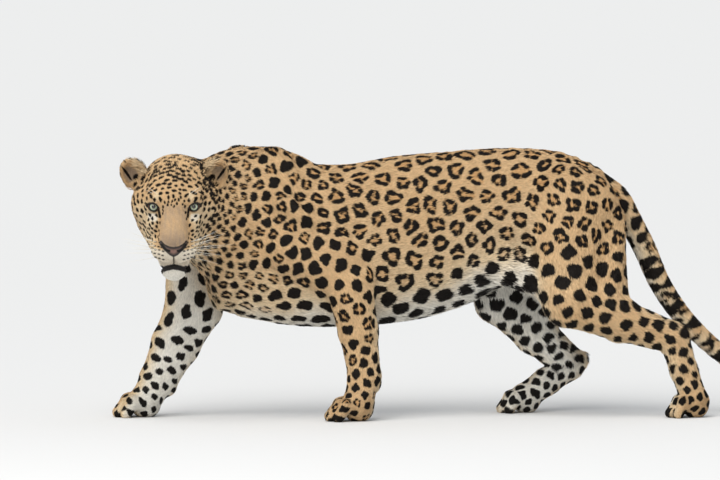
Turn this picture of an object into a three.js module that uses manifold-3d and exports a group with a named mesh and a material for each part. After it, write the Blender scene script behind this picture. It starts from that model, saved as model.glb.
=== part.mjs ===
// A life-size adult male leopard, walking, its head turned to look out past its left shoulder.
//
// Millimetres, +Z up. The trunk lies along X with the chest towards -X and the tail towards +X,
// the left side is towards -Y, and the origin is on the ground under the middle of the bounding box.
//
// The whole body is one blended form: tapered limbs and muscles of oval section, joined by a soft
// minimum of their distances. Each named piece is a stretch of that form, drawn as a closed surface
// at its own fineness and parted from its neighbours by thin flat cuts.

import * as THREE from "three";
import Module from "manifold-3d";
import { mergeVertices } from "three/addons/utils/BufferGeometryUtils.js";

// Driving dimensions.
const CUT_GAP = 0.3; // between neighbouring pieces
const HEAD_PITCH = 28; // degrees that the face tips down
const HEAD_YAW = 82; // degrees that the head turns to its left from straight ahead
const HEAD_CENTRE = [-525, -100, 500]; // middle of the brain case
const CHEST_HALF_WIDTH = 106;
const STANCE_FORE = 92; // each fore paw's distance from the middle plane
const STANCE_HIND = 94;
const EYE_RADIUS = 16;
const EYE_CENTRE = [45, 70, 27]; // in the head's frame
const TOE_RADIUS = 15;
const SOLE_DIP = 3; // how far toes and pads are pressed flat against the ground
const TAIL_ROOT_RADIUS = 33;
const TAIL_TIP_RADIUS = 17;

const wasm = await Module();
wasm.setup();

const v3 = (p) => new THREE.Vector3(...p);
const mix = (a, b, t) => a + (b - a) * t;
const between = (a, b, t) => a.map((n, i) => mix(n, b[i], t));
const plus = (a, b) => a.map((n, i) => n + b[i]);
const clamp = THREE.MathUtils.clamp;
const radians = THREE.MathUtils.degToRad;

// A tapered limb of oval section from a to b. Each size is [along the side direction, across it].
// blend is how softly it flows into what was built before it.
function limb(a, b, sizeA, sizeB, side, blend = 20, end = 1) {
  const start = v3(a);
  const axis = v3(b).sub(start);
  const length = Math.max(axis.length(), 1e-6);
  axis.divideScalar(length);
  const across = v3(side).addScaledVector(axis, -v3(side).dot(axis)).normalize();
  const normal = new THREE.Vector3().crossVectors(axis, across);
  const reach = Math.max(...sizeA, ...sizeB) + blend;
  const middle = v3(a).lerp(v3(b), 0.5);
  const distance = (x, y, z) => {
    const dx = x - start.x;
    const dy = y - start.y;
    const dz = z - start.z;
    const run = dx * axis.x + dy * axis.y + dz * axis.z;
    const t = clamp(run / length, 0, 1);
    const along = run - t * length;
    const u = dx * across.x + dy * across.y + dz * across.z;
    const w = dx * normal.x + dy * normal.y + dz * normal.z;
    const ru = mix(sizeA[0], sizeB[0], t);
    const rw = mix(sizeA[1], sizeB[1], t);
    const re = ((ru + rw) / 2) * end;
    return ovalDistance(u, w, along, ru, rw, re);
  };
  return { distance, blend, middle, reach: reach + length / 2 };
}

// Distance to an ellipsoid with the given half sizes, near enough for blending.
function ovalDistance(u, w, along, ru, rw, re) {
  const k0 = Math.hypot(u / ru, w / rw, along / re);
  const k1 = Math.hypot(u / (ru * ru), w / (rw * rw), along / (re * re));
  return k1 < 1e-9 ? -Math.min(ru, rw, re) : (k0 * (k0 - 1)) / k1;
}

// An ellipsoid muscle. sizes are its half lengths along the direction, along the side, and across.
function muscle(centre, direction, sizes, side, blend = 20) {
  const axis = v3(direction).normalize();
  const across = v3(side).addScaledVector(axis, -v3(side).dot(axis)).normalize();
  const normal = new THREE.Vector3().crossVectors(axis, across);
  const [long, ru, rw] = sizes;
  const distance = (x, y, z) => {
    const dx = x - centre[0];
    const dy = y - centre[1];
    const dz = z - centre[2];
    return ovalDistance(
      dx * across.x + dy * across.y + dz * across.z,
      dx * normal.x + dy * normal.y + dz * normal.z,
      dx * axis.x + dy * axis.y + dz * axis.z,
      ru,
      rw,
      long,
    );
  };
  return { distance, blend, middle: v3(centre), reach: Math.max(...sizes) + blend };
}

// A long form through several stations, each [x, y, z, half width along side, half depth].
function tube(stations, side, steps, blend = 20, end = 1) {
  const line = new THREE.CatmullRomCurve3(stations.map((s) => v3(s.slice(0, 3))));
  const girth = new THREE.CatmullRomCurve3(stations.map((s) => v3([s[3], s[4], 0])));
  const pieces = [];
  for (let i = 0; i < steps; i++) {
    const [a, b] = [line.getPoint(i / steps), line.getPoint((i + 1) / steps)];
    const [ra, rb] = [girth.getPoint(i / steps), girth.getPoint((i + 1) / steps)];
    const atEnd = i === 0 || i === steps - 1;
    const joined = limb(a.toArray(), b.toArray(), [ra.x, ra.y], [rb.x, rb.y], side, blend, atEnd ? end : 0.6);
    pieces.push(joined);
  }
  const distance = (x, y, z) => {
    let least = Infinity;
    for (const piece of pieces) least = Math.min(least, piece.distance(x, y, z));
    return least;
  };
  const middle = line.getPoint(0.5);
  const reach = Math.max(...pieces.map((p) => p.middle.distanceTo(middle) + p.reach));
  return { distance, blend, middle, reach };
}

// All the forms as one, each flowing into the ones before it.
function blended(forms) {
  return (x, y, z) => {
    let d = 1e3;
    for (const form of forms) {
      const away = Math.hypot(x - form.middle.x, y - form.middle.y, z - form.middle.z) - form.reach;
      if (away > d + form.blend && away > 0) continue;
      const e = form.distance(x, y, z);
      const k = form.blend;
      const h = Math.max(k - Math.abs(d - e), 0) / k;
      d = Math.min(d, e) - (h * h * k) / 4;
    }
    return d;
  };
}

// Trunk: the rib cage hangs deep between the shoulders, and the belly line rises to the groin.
// Stations along the spine: x, top, bottom, half width as a share of the chest's.
const TRUNK = [
  [-405, 594, 242, 0.84],
  [-314, 606, 220, 0.98],
  [-227, 580, 204, 1.02],
  [-110, 575, 202, 1.06],
  [0, 592, 214, 1.06],
  [91, 602, 240, 1.0],
  [182, 609, 284, 0.92],
  [273, 610, 322, 0.88],
  [364, 600, 350, 0.84],
  [440, 566, 384, 0.66],
];
const trunk = tube(
  TRUNK.map(([x, top, bottom, width]) => [x, 0, (top + bottom) / 2, width * CHEST_HALF_WIDTH, (top - bottom) / 2]),
  [0, 1, 0],
  26,
  30,
  0.35,
);

// Neck: from between the shoulders it swings to the left and narrows behind the skull.
const NECK = [
  [-340, 0, 452, 102, 146],
  [-420, -22, 466, 97, 132],
  [-482, -58, 480, 90, 107],
  [-518, -84, 492, 82, 90],
];
const neck = tube(NECK, [0.35, 1, 0], 10, 40, 0.5);

// Joints of each leg, from the shoulder blade or hip down to the toes.
const LEGS = {
  foreLeft: {
    side: -1,
    blade: [-296, -44, 586],
    shoulder: [-278, -88, 404],
    elbow: [-124, -STANCE_FORE - 4, 312],
    wrist: [-94, -STANCE_FORE, 104],
    ball: [-108, -STANCE_FORE, 38],
    toeReach: 62,
    forearm: [54, 48, 41],
  },
  foreRight: {
    side: 1,
    blade: [-350, 44, 582],
    shoulder: [-454, 88, 402],
    elbow: [-456, STANCE_FORE - 4, 244],
    wrist: [-536, STANCE_FORE, 86],
    ball: [-566, STANCE_FORE, 38],
    toeReach: 60,
    forearm: [66, 58, 46],
  },
  hindLeft: {
    side: -1,
    hip: [372, -66, 474],
    knee: [368, -STANCE_HIND - 12, 262],
    hock: [604, -STANCE_HIND, 180],
    ball: [656, -STANCE_HIND, 38],
    toeReach: 58,
  },
  hindRight: {
    side: 1,
    hip: [366, 66, 470],
    knee: [244, STANCE_HIND + 8, 254],
    hock: [400, STANCE_HIND, 108],
    ball: [300, STANCE_HIND, 36],
    toeReach: 58,
  },
};

// Four toes and the pad behind them, from the ball of the foot forward.
function paw([x, y, z], reach, size) {
  const forms = [
    muscle([x - 2, y, z - 2], [1, 0, 0], [36 * size, 38 * size, 30 * size], [0, 1, 0], 14),
    muscle([x + 2, y, 23 - SOLE_DIP], [1, 0, 0], [30 * size, 31 * size, 23], [0, 1, 0], 10),
  ];
  for (let toe = 0; toe < 4; toe++) {
    const spread = toe - 1.5; // -1.5 and 1.5 are the outer toes
    const length = (reach + (Math.abs(spread) < 1 ? 0 : -13)) * size;
    const thick = (TOE_RADIUS + 2.5) * size;
    const thin = (TOE_RADIUS - 1) * size;
    const root = [x - 18, y + spread * 18 * size, z - 2];
    const knuckle = [x - 0.62 * length, y + spread * 21 * size, z - 2];
    const tip = [x - length, y + spread * 22 * size, thin - SOLE_DIP];
    forms.push(limb(root, knuckle, [thick, thick], [thick, thick], [0, 1, 0], 9));
    forms.push(limb(knuckle, tip, [thick, thick], [thin, thin], [0, 1, 0], 5));
  }
  return forms;
}

// The direction square to a line, in the plane of the legs' swing.
const acrossSwing = (line) => [-line[2], 0, line[0]];
const toward = (from, to) => to.map((n, i) => n - from[i]);

function foreleg({ side, blade, shoulder, elbow, wrist, ball, toeReach, forearm }) {
  const fore = [1, 0, 0];
  const out = [0, side, 0];
  const arm = toward(shoulder, elbow);
  const shin = toward(elbow, wrist);
  const bladeMiddle = between(blade, shoulder, 0.55);
  const halfway = between(elbow, wrist, 0.52);
  const [top, middle, bottom] = forearm; // half widths fore and aft
  return [
    limb(blade, shoulder, [46, 22], [62, 38], fore, 22),
    muscle(plus(bladeMiddle, [34, side * 10, -14]), arm, [92, 52, 36], out, 18),
    limb(shoulder, elbow, [68, 44], [top + 4, 42], acrossSwing(arm), 18),
    muscle(plus(between(shoulder, elbow, 0.62), [26, side * 4, 30]), arm, [78, 40, 54], out, 16),
    muscle(plus(elbow, [26, 0, 6]), [0, 0, 1], [34, 24, 26], out, 14),
    limb(elbow, halfway, [top, 44], [middle, 39], fore, 14),
    limb(halfway, wrist, [middle, 39], [bottom, 35], fore, 14),
    muscle(plus(between(elbow, wrist, 0.2), [-16, side * 6, 0]), shin, [80, 40, 40], out, 14),
    limb(wrist, ball, [bottom - 2, 37], [34, 40], fore, 10),
    muscle(plus(wrist, [24, 0, -20]), [0, 0, 1], [20, 16, 17], out, 8),
    ...paw(ball, toeReach, 1),
  ];
}

function hindleg({ side, hip, knee, hock, ball, toeReach }) {
  const fore = [1, 0, 0];
  const out = [0, side, 0];
  const shin = toward(knee, hock);
  const shinAcross = acrossSwing(shin);
  const thigh = toward(hip, knee);
  const seat = [462, side * 46, 440];
  const heel = plus(hock, [24, 0, 12]);
  const halfway = between(knee, hock, 0.5);
  return [
    muscle(plus(hip, [26, side * 4, 30]), [1, 0, -0.4], [96, 62, 48], [0, 0, 1], 30),
    limb(hip, knee, [98, 56], [62, 44], acrossSwing(thigh), 30),
    limb(seat, between(knee, hock, 0.32), [54, 36], [42, 33], shinAcross, 26),
    limb(seat, halfway, [34, 26], [30, 26], shinAcross, 26),
    muscle(plus(knee, [-14, side * 2, 4]), thigh, [50, 38, 38], fore, 18),
    limb(knee, halfway, [56, 42], [51, 35], shinAcross, 20),
    limb(halfway, hock, [51, 35], [39, 27], shinAcross, 16),
    limb(between(knee, hock, 0.6), heel, [24, 20], [18, 18], shinAcross, 14),
    muscle(heel, [1, 0, 0.6], [19, 18, 18], out, 12),
    limb(heel, between(hock, ball, 0.8), [17, 17], [24, 24], fore, 12),
    limb(hock, between(hock, ball, 0.5), [37, 29], [32, 29], fore, 12),
    limb(between(hock, ball, 0.5), ball, [32, 29], [31, 35], fore, 12),
    ...paw(ball, toeReach, 0.92),
  ];
}

// Loose skin from the belly to the front of each knee.
function flankFold({ side, knee }) {
  return limb([190, side * 58, 348], plus(knee, [-12, side * -14, 36]), [34, 22], [44, 26], [0, 0, 1], 40);
}

// Head, in its own frame: x to the animal's right, y out through the nose, z up through the crown,
// from the middle of the brain case. side is 1 or -1 for what comes in pairs.
const ACROSS = [1, 0, 0];
const SKULL = [
  muscle([0, -14, 12], [0, 1, 0], [92, 76, 76], ACROSS, 44),
  muscle([0, 42, 34], [0, 1, -0.35], [60, 58, 40], ACROSS, 22),
  muscle([0, -60, 4], [0, 1, 0], [52, 66, 62], ACROSS, 24),
  limb([0, 66, 26], [0, 142, -10], [33, 30], [30, 22], ACROSS, 16),
  muscle([0, 112, -36], [0, 1, -0.1], [58, 46, 34], ACROSS, 18),
  limb([0, 30, -70], [0, 116, -98], [56, 38], [36, 28], ACROSS, 18),
  muscle([0, 130, -103], [0, 1, 0.1], [28, 32, 29], ACROSS, 14),
  muscle([0, 152, -21], [0, 1, -0.2], [21, 28, 19], ACROSS, 9),
  muscle([0, 16, -80], [0, 1, 0], [70, 54, 36], ACROSS, 24),
];
const SKULL_PAIRS = (side) => [
  muscle([side * 55, 14, -6], [side * -0.3, 1, 0.05], [60, 40, 44], ACROSS, 20),
  muscle([side * 49, 0, -46], [side * -0.2, 1, -0.15], [54, 36, 48], ACROSS, 20),
  muscle([side * 40, 64, 47], [side * 0.4, 1, -0.3], [20, 24, 12], ACROSS, 12),
  muscle([side * 44, 82, -8], [side * -0.2, 1, -0.2], [34, 19, 26], ACROSS, 14),
  muscle([side * 38, 64, -50], [side * -0.15, 1, -0.1], [60, 26, 36], ACROSS, 20),
  muscle([side * 27, 134, -47], [side * 0.1, 1, -0.1], [32, 27, 24], ACROSS, 8),
  muscle([side * EYE_CENTRE[0], EYE_CENTRE[1], EYE_CENTRE[2]], [0, 1, 0], [20.5, 22, 20.5], ACROSS, 8),
];
const EAR_CENTRE = [92, -34, 50];
const EAR_UPWARD = [0.55, -0.15, 0.82];
const EAR_WIDTHWISE = [0.8, 0.3, -0.5];
const mirrored = (p, side) => [side * p[0], p[1], p[2]];
const ear = (side) =>
  muscle(mirrored(EAR_CENTRE, side), mirrored(EAR_UPWARD, side), [42, 34, 17], mirrored(EAR_WIDTHWISE, side), 14);
const earCup = (side) =>
  muscle(mirrored([89, -19, 50], side), mirrored(EAR_UPWARD, side), [33, 25, 17], mirrored(EAR_WIDTHWISE, side));
const yaw = radians(HEAD_YAW);
const pitch = radians(HEAD_PITCH);
const nose = new THREE.Vector3(-Math.cos(yaw) * Math.cos(pitch), -Math.sin(yaw) * Math.cos(pitch), -Math.sin(pitch));
const rightward = new THREE.Vector3(-Math.sin(yaw), Math.cos(yaw), 0);
const crown = new THREE.Vector3().crossVectors(rightward, nose);
const headFrame = new THREE.Matrix4().makeBasis(rightward, nose, crown).setPosition(...HEAD_CENTRE);
const fromHead = (p) => v3(p).applyMatrix4(headFrame).toArray();

// A form given in the head's frame, moved to its place on the body.
function onHead(form) {
  const e = headFrame.clone().invert().elements;
  const distance = (x, y, z) =>
    form.distance(
      e[0] * x + e[4] * y + e[8] * z + e[12],
      e[1] * x + e[5] * y + e[9] * z + e[13],
      e[2] * x + e[6] * y + e[10] * z + e[14],
    );
  return { ...form, distance, middle: form.middle.clone().applyMatrix4(headFrame) };
}

// Tail: it drops from the croup, trails behind the hind legs and lifts again at the tip.
const TAIL_LINE = [
  [452, 0, 520],
  [492, 0, 490],
  [524, 4, 437],
  [556, 8, 378],
  [592, 12, 298],
  [640, 16, 226],
  [708, 22, 156],
  [784, 30, 102],
  [864, 36, 76],
  [938, 38, 82],
  [1000, 36, 116],
];
const tail = tube(
  TAIL_LINE.map((p, i) => {
    const taper = (i / (TAIL_LINE.length - 1)) ** 1.2;
    const radius = mix(TAIL_ROOT_RADIUS, TAIL_TIP_RADIUS, taper);
    return [...p, radius, radius];
  }),
  [0, 1, 0],
  34,
  16,
  1.4,
);

const head = [...SKULL, ...SKULL_PAIRS(1), ...SKULL_PAIRS(-1), ear(1), ear(-1)].map(onHead);
const flesh = blended([
  trunk,
  neck,
  ...foreleg(LEGS.foreLeft),
  ...foreleg(LEGS.foreRight),
  ...hindleg(LEGS.hindLeft),
  ...hindleg(LEGS.hindRight),
  flankFold(LEGS.hindLeft),
  flankFold(LEGS.hindRight),
  tail,
  ...head,
]);
const cups = [earCup(1), earCup(-1)].map(onHead);
const body = (x, y, z) => Math.max(flesh(x, y, z), ...cups.map((cup) => -cup.distance(x, y, z)));

// The closed surface where a field is zero, inside the box low to high. Each grid cell gets one
// vertex for each patch of surface in it, and each grid edge that crosses the surface one quad.
function surface(field, low, high, cell) {
  const count = low.map((n, i) => Math.ceil((high[i] - n) / cell) + 1);
  const stride = [1, count[0], count[0] * count[1]];
  const values = new Float64Array(count[0] * count[1] * count[2]);
  const at = (i, j, k) => i + j * stride[1] + k * stride[2];
  for (let k = 0; k < count[2]; k++)
    for (let j = 0; j < count[1]; j++)
      for (let i = 0; i < count[0]; i++) {
        const edge = i * j * k === 0 || i === count[0] - 1 || j === count[1] - 1 || k === count[2] - 1;
        const d = field(low[0] + i * cell, low[1] + j * cell, low[2] + k * cell);
        values[at(i, j, k)] = edge ? Math.max(d, cell * 0.05) : d;
      }
  const positions = [];
  const vertexOf = new Map(); // cell * 12 + edge to vertex
  const corner = (c) => [c & 1, (c >> 1) & 1, c >> 2];
  const cornerIndex = (o) => o[0] + 2 * o[1] + 4 * o[2];
  const ends = (edge) => {
    const axis = Math.floor(edge / 4);
    const o = [0, 0, 0];
    o[(axis + 1) % 3] = edge & 1;
    o[(axis + 2) % 3] = (edge >> 1) & 1;
    const p = [...o];
    p[axis] = 1;
    return [cornerIndex(o), cornerIndex(p)];
  };
  const edgeEnds = Array.from({ length: 12 }, (_, edge) => ends(edge));
  const faces = [];
  for (let axis = 0; axis < 3; axis++)
    for (const offset of [0, 1])
      faces.push(edgeEnds.map((e, i) => i).filter((i) => edgeEnds[i].every((c) => corner(c)[axis] === offset)));
  for (let k = 0; k < count[2] - 1; k++)
    for (let j = 0; j < count[1] - 1; j++)
      for (let i = 0; i < count[0] - 1; i++) {
        const d = Array.from({ length: 8 }, (_, c) => values[at(i + (c & 1), j + ((c >> 1) & 1), k + (c >> 2))]);
        if (d.every((n) => n > 0) || d.every((n) => n <= 0)) continue;
        const group = Array.from({ length: 12 }, (_, n) => n);
        const find = (n) => (group[n] === n ? n : find(group[n]));
        const crosses = edgeEnds.map(([a, b]) => d[a] <= 0 !== d[b] <= 0);
        for (const face of faces) {
          const cut = face.filter((edge) => crosses[edge]);
          if (cut.length === 2) group[find(cut[0])] = find(cut[1]);
          if (cut.length !== 4) continue;
          for (let c = 0; c < 8; c++) {
            const pair = cut.filter((edge) => edgeEnds[edge].includes(c));
            if (d[c] <= 0 && pair.length === 2) group[find(pair[0])] = find(pair[1]);
          }
        }
        const sums = new Map();
        for (let edge = 0; edge < 12; edge++) {
          if (!crosses[edge]) continue;
          const [a, b] = edgeEnds[edge];
          const t = d[a] / (d[a] - d[b]);
          const [pa, pb] = [corner(a), corner(b)];
          const sum = sums.get(find(edge)) ?? [0, 0, 0, 0];
          sums.set(find(edge), [...between(pa, pb, t).map((n, axis) => n + sum[axis]), sum[3] + 1]);
        }
        const first = new Map();
        for (const [root, sum] of sums) {
          first.set(root, positions.length / 3);
          positions.push(...[i, j, k].map((n, axis) => low[axis] + (n + sum[axis] / sum[3]) * cell));
        }
        for (let edge = 0; edge < 12; edge++)
          if (crosses[edge]) vertexOf.set(at(i, j, k) * 12 + edge, first.get(find(edge)));
      }
  settle(positions, field, cell);
  const triangles = [];
  const point = (n) => v3(positions.slice(3 * n, 3 * n + 3));
  for (let k = 0; k < count[2] - 1; k++)
    for (let j = 0; j < count[1] - 1; j++)
      for (let i = 0; i < count[0] - 1; i++)
        for (let axis = 0; axis < 3; axis++) {
          const here = at(i, j, k);
          const inside = values[here] <= 0;
          if (inside === values[here + stride[axis]] <= 0) continue;
          const [sb, sc] = [stride[(axis + 1) % 3], stride[(axis + 2) % 3]];
          const quad = [
            (here - sb - sc) * 12 + axis * 4 + 3,
            (here - sc) * 12 + axis * 4 + 2,
            here * 12 + axis * 4,
            (here - sb) * 12 + axis * 4 + 1,
          ].map((key) => vertexOf.get(key));
          if (!inside) quad.reverse();
          const [a, b, c, e] = quad;
          const short = point(a).distanceTo(point(c)) < point(b).distanceTo(point(e));
          triangles.push(...(short ? [a, b, c, a, c, e] : [b, c, e, b, e, a]));
        }
  return closed(positions, triangles);
}

// Moves each vertex onto the zero surface along the field's slope.
function settle(positions, field, cell) {
  const step = 1;
  for (let n = 0; n < positions.length; n += 3)
    for (let round = 0; round < 3; round++) {
      const [x, y, z] = positions.slice(n, n + 3);
      const d = field(x, y, z);
      if (Math.abs(d) > cell) break;
      const slope = new THREE.Vector3(
        field(x + step, y, z) - field(x - step, y, z),
        field(x, y + step, z) - field(x, y - step, z),
        field(x, y, z + step) - field(x, y, z - step),
      ).divideScalar(2 * step);
      const steep = Math.max(slope.lengthSq(), 0.25);
      positions[n] -= (d * slope.x) / steep;
      positions[n + 1] -= (d * slope.y) / steep;
      positions[n + 2] -= (d * slope.z) / steep;
    }
}

const closed = (positions, triangles) =>
  new wasm.Manifold(
    new wasm.Mesh({
      numProp: 3,
      vertProperties: new Float32Array(positions),
      triVerts: new Uint32Array(triangles),
    }),
  );

// A closed three.js geometry as a solid that can be joined and cut.
function solid(geometry, matrix = new THREE.Matrix4()) {
  const bare = geometry.clone();
  bare.deleteAttribute("normal");
  bare.deleteAttribute("uv");
  const merged = mergeVertices(bare.applyMatrix4(matrix), 1e-4);
  return closed(merged.attributes.position.array, merged.index.array);
}

// A convex block of space: a cube about centre, cut by planes, each [point, direction that the block
// lies in]. grow moves every face outwards.
function block(centre, half, planes, grow = 0) {
  const size = 2 * (half + grow);
  let space = solid(new THREE.BoxGeometry(size, size, size).translate(...centre));
  for (const [point, inward] of planes) {
    const normal = v3(inward).normalize();
    space = space.trimByPlane(normal.toArray(), v3(point).dot(normal) - grow);
  }
  return space;
}

const largest = (made) => made.decompose().sort((a, b) => b.volume() - a.volume())[0];

// The part of the body that each node takes, in the order in which they are cut: its name, the planes
// of its block, the middle and half size of the box that it is drawn in, and its grid size.
const bisector = (a, b, c) => {
  const [first, second] = [v3(toward(a, b)).normalize(), v3(toward(b, c)).normalize()];
  return first.add(second).toArray();
};
const BODY_PIECES = [
  ["tail_root", [[[508, 3, 462], [0.52, 0, -0.86]], [[497, 0, 0], [1, 0, 0]], [[592, 12, 298], [-1, 0, 1.6]]], [545, 4, 390], 130, 19],
  ["tail_middle", [[[592, 12, 298], [1, 0, -1.6]], [[784, 30, 102], [-1, 0, 0.5]], [[0, -44, 0], [0, 1, 0]]], [690, 12, 200], 130, 17.4],
  ["tail_tip", [[[784, 30, 102], [1, 0, -0.5]]], [900, 30, 100], 135, 15.7],
];
for (const [key, leg] of Object.entries(LEGS)) {
  const { side } = leg;
  const end = side < 0 ? "left" : "right";
  const out = [0, side, 0];
  const inner = [[0, side * 34, 0], out];
  if (key.startsWith("fore")) {
    const clear = [[60, 0, 0], [-1, 0, 0]];
    const pawTop = [between(leg.wrist, leg.ball, 0.4), toward(leg.wrist, leg.ball)];
    const elbowTurn = bisector(leg.shoulder, leg.elbow, leg.wrist);
    const armAcross = acrossSwing(toward(leg.shoulder, leg.elbow));
    const armBack = v3(armAcross).normalize().multiplyScalar(armAcross[0] > 0 ? 1 : -1);
    const armEdge = (reach) => [v3(leg.elbow).addScaledVector(armBack, reach).toArray(), armBack.clone().multiplyScalar(-Math.sign(reach)).toArray()];
    BODY_PIECES.push(
      ["paw_fore_" + end, [pawTop, inner, clear], [leg.ball[0] - 14, leg.ball[1], 45], 75, 13.2],
      ["forearm_" + end, [[leg.elbow, elbowTurn], [[0, side * 42, 200], [0, side, -0.24]], [[leg.elbow[0] + 78, 0, 0], [-1, 0, 0]]], between(leg.elbow, leg.wrist, 0.5), 145, 24],
      ["upper_arm_" + end, [[[0, side * 64, 0], out], armEdge(82), armEdge(-82), [plus(leg.shoulder, [0, 0, 56]), toward(leg.shoulder, leg.elbow)]], between(leg.shoulder, leg.elbow, 0.5), 170, 28.2],
    );
  }
  if (key.startsWith("hind")) {
    const clear = [[60, 0, 0], [1, 0, 0]];
    const pawTop = [between(leg.hock, leg.ball, 0.72), toward(leg.hock, leg.ball)];
    const hockTurn = bisector(leg.knee, leg.hock, leg.ball);
    const hockCut = v3(leg.hock).addScaledVector(v3(hockTurn).normalize(), -16).toArray();
    const kneeTurn = bisector(leg.hip, leg.knee, leg.hock);
    const front = [toward(plus(leg.hip, [-118, 0, 0]), plus(leg.knee, [-66, 0, 0]))].map((n) => [-n[2], 0, n[0]])[0];
    BODY_PIECES.push(
      ["paw_hind_" + end, [pawTop, inner, clear], [leg.ball[0] - 12, leg.ball[1], 45], 75, 13.2],
      ["foot_" + end, [[hockCut, hockTurn], inner, clear, [plus(leg.ball, [-90, 0, 0]), [1, 0, 0]]], between(leg.hock, leg.ball, 0.4), 120, 18.6],
      ["shank_" + end, [[leg.knee, kneeTurn], inner, [plus(leg.knee, [-80, 0, 0]), [1, 0, 0]]], between(leg.knee, leg.hock, 0.45), 170, 24],
      ["thigh_" + end, [[[0, side * 46, 0], out], [plus(leg.hip, [-118, 0, 0]), front], [plus(leg.hip, [0, 0, 64]), [0, 0, -1]]], between(leg.hip, leg.knee, 0.5), 205, 32],
    );
  }
}
BODY_PIECES.push(
  ["neck", [[[-366, 0, 480], [-1, -0.2, 0.15]]], [-450, -20, 420], 200, 30.5],
  ["chest", [[[-40, 0, 0], [-1, 0, 0]]], [-215, 0, 400], 215, 38],
  ["belly", [[[282, 0, 0], [-1, 0, 0]]], [130, 0, 400], 215, 39],
  ["hips", [], [400, 0, 440], 190, 30.5],
);

// Blocks of the head's own pieces, in its own frame.
const HEAD_BACK = [[0, -50, 60], [0, 0.916, 0.4]];
const MOUTH_CORNER = [0, 92, -78];
const JAW_TOP = [0, -0.105, -0.994];
const MOUTH_ROOF = [0, -0.06, 0.998];
const opposite = (direction) => direction.map((n) => -n);
const onFace = ([name, planes, centre, half, cell]) => {
  const placed = planes.map(([point, inward]) => [fromHead(point), v3(inward).transformDirection(headFrame).toArray()]);
  return [name, placed, fromHead(centre), half, cell];
};
const MOUTH_GAP = onFace([
  "mouth",
  [[MOUTH_CORNER, opposite(JAW_TOP)], [MOUTH_CORNER, opposite(MOUTH_ROOF)], [MOUTH_CORNER, [0, 1, 0]]],
  [0, 150, -80],
  90,
]);
const HEAD_PIECES = [
  ["ear_left", [[[-78, -34, 42], [-0.62, -0.1, 0.78]], [[0, -58, 0], [0, 1, 0]]], [-92, -26, 52], 56, 9.9],
  ["ear_right", [[[78, -34, 42], [0.62, -0.1, 0.78]], [[0, -58, 0], [0, 1, 0]]], [92, -26, 52], 56, 9.9],
  ["nose", [
    [[0, 153, 0], [0, 1, 0]],
    [[0, 162, -4], [0, -0.2, -1]],
    [[0, 162, -40], [0, 0.2, 1]],
    [[25, 0, -14], [-1, 0, 0.35]],
    [[-25, 0, -14], [1, 0, 0.35]],
  ], [0, 160, -20], 40, 9],
  ["jaw", [[MOUTH_CORNER, JAW_TOP], [MOUTH_CORNER, [0, 0.9, -0.45]]], [0, 110, -100], 70, 12.7],
  ["head", [HEAD_BACK, [[0, 0, -142], [0, 0, 1]], [[128, 0, 0], [-1, 0, 0]], [[-128, 0, 0], [1, 0, 0]]], [0, 40, -15], 155, 13.2],
].map(onFace);

const leopard = new THREE.Group();
const MATERIALS = {
  coat: new THREE.MeshStandardMaterial({ color: 0xc89a5c, roughness: 0.85 }),
  noseLeather: new THREE.MeshStandardMaterial({ color: 0x5b4340, roughness: 0.55 }),
  eye: new THREE.MeshStandardMaterial({ color: 0xaab49a, roughness: 0.1 }),
};
const MATERIAL_OF = { nose: MATERIALS.noseLeather, eye_left: MATERIALS.eye, eye_right: MATERIALS.eye };

function addNode(name, made, material) {
  const mesh = made.getMesh();
  const positions = new Float32Array(mesh.numVert * 3);
  for (let i = 0; i < mesh.numVert; i++)
    positions.set(mesh.vertProperties.subarray(i * mesh.numProp, i * mesh.numProp + 3), i * 3);
  const geometry = new THREE.BufferGeometry()
    .setAttribute("position", new THREE.BufferAttribute(positions, 3))
    .setIndex(new THREE.BufferAttribute(mesh.triVerts, 1));
  const node = new THREE.Mesh(geometry, material);
  node.name = name;
  leopard.add(node);
}

// An ellipsoid solid in the head's frame, turned so that its y axis lies along the gaze.
function ball(centre, sizes, turn = [0, 0, 0], segments = 14) {
  const unit = new THREE.SphereGeometry(1, segments, Math.round(segments * 0.6)).rotateX(Math.PI / 2);
  const local = new THREE.Matrix4().compose(
    v3(centre),
    new THREE.Quaternion().setFromEuler(new THREE.Euler(...turn)),
    v3(sizes),
  );
  return solid(unit, headFrame.clone().multiply(local));
}

const nodes = new Map();
const taken = [block(MOUTH_GAP[2], MOUTH_GAP[3], MOUTH_GAP[1])];
const ground = [[0, 0, 0], [0, 0, 1]];
for (const [name, planes, centre, half, cell] of [...HEAD_PIECES, ...BODY_PIECES]) {
  const low = centre.map((n) => n - half);
  const high = centre.map((n) => n + half);
  low[2] = Math.max(low[2], -cell * 2);
  const drawn = surface(body, low, high, cell).intersect(block(centre, half, [...planes, ground]));
  const piece = taken.reduce((left, other) => left.subtract(other), drawn);
  taken.push(block(centre, half, planes, CUT_GAP));
  nodes.set(name, largest(piece));
}

// Eyes in their sockets, with an almond opening between the lids, and comma-shaped nostrils.
const LID_OPENING = [14.5, 24, 10.5];
const LID_TURN = [0.1, 0.2, -0.2]; // the inner corner is lower and further forward
const NOSTRIL = [12, 172, -24];
for (const [end, side] of [["left", -1], ["right", 1]]) {
  const centre = mirrored(EYE_CENTRE, side);
  const opening = ball(plus(centre, [side * 3, 24, 1]), LID_OPENING, [LID_TURN[0], -side * LID_TURN[1], side * LID_TURN[2]]);
  const socket = ball(centre, Array(3).fill(EYE_RADIUS + CUT_GAP));
  nodes.set("head", nodes.get("head").subtract(opening).subtract(socket));
  nodes.set("eye_" + end, ball(centre, Array(3).fill(EYE_RADIUS)));
  nodes.set("nose", nodes.get("nose").subtract(ball(mirrored(NOSTRIL, side), [4.5, 9, 6], [0, side * 0.6, 0], 12)));
}
for (const [name, made] of nodes) addNode(name, largest(made), MATERIAL_OF[name] ?? MATERIALS.coat);

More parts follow.
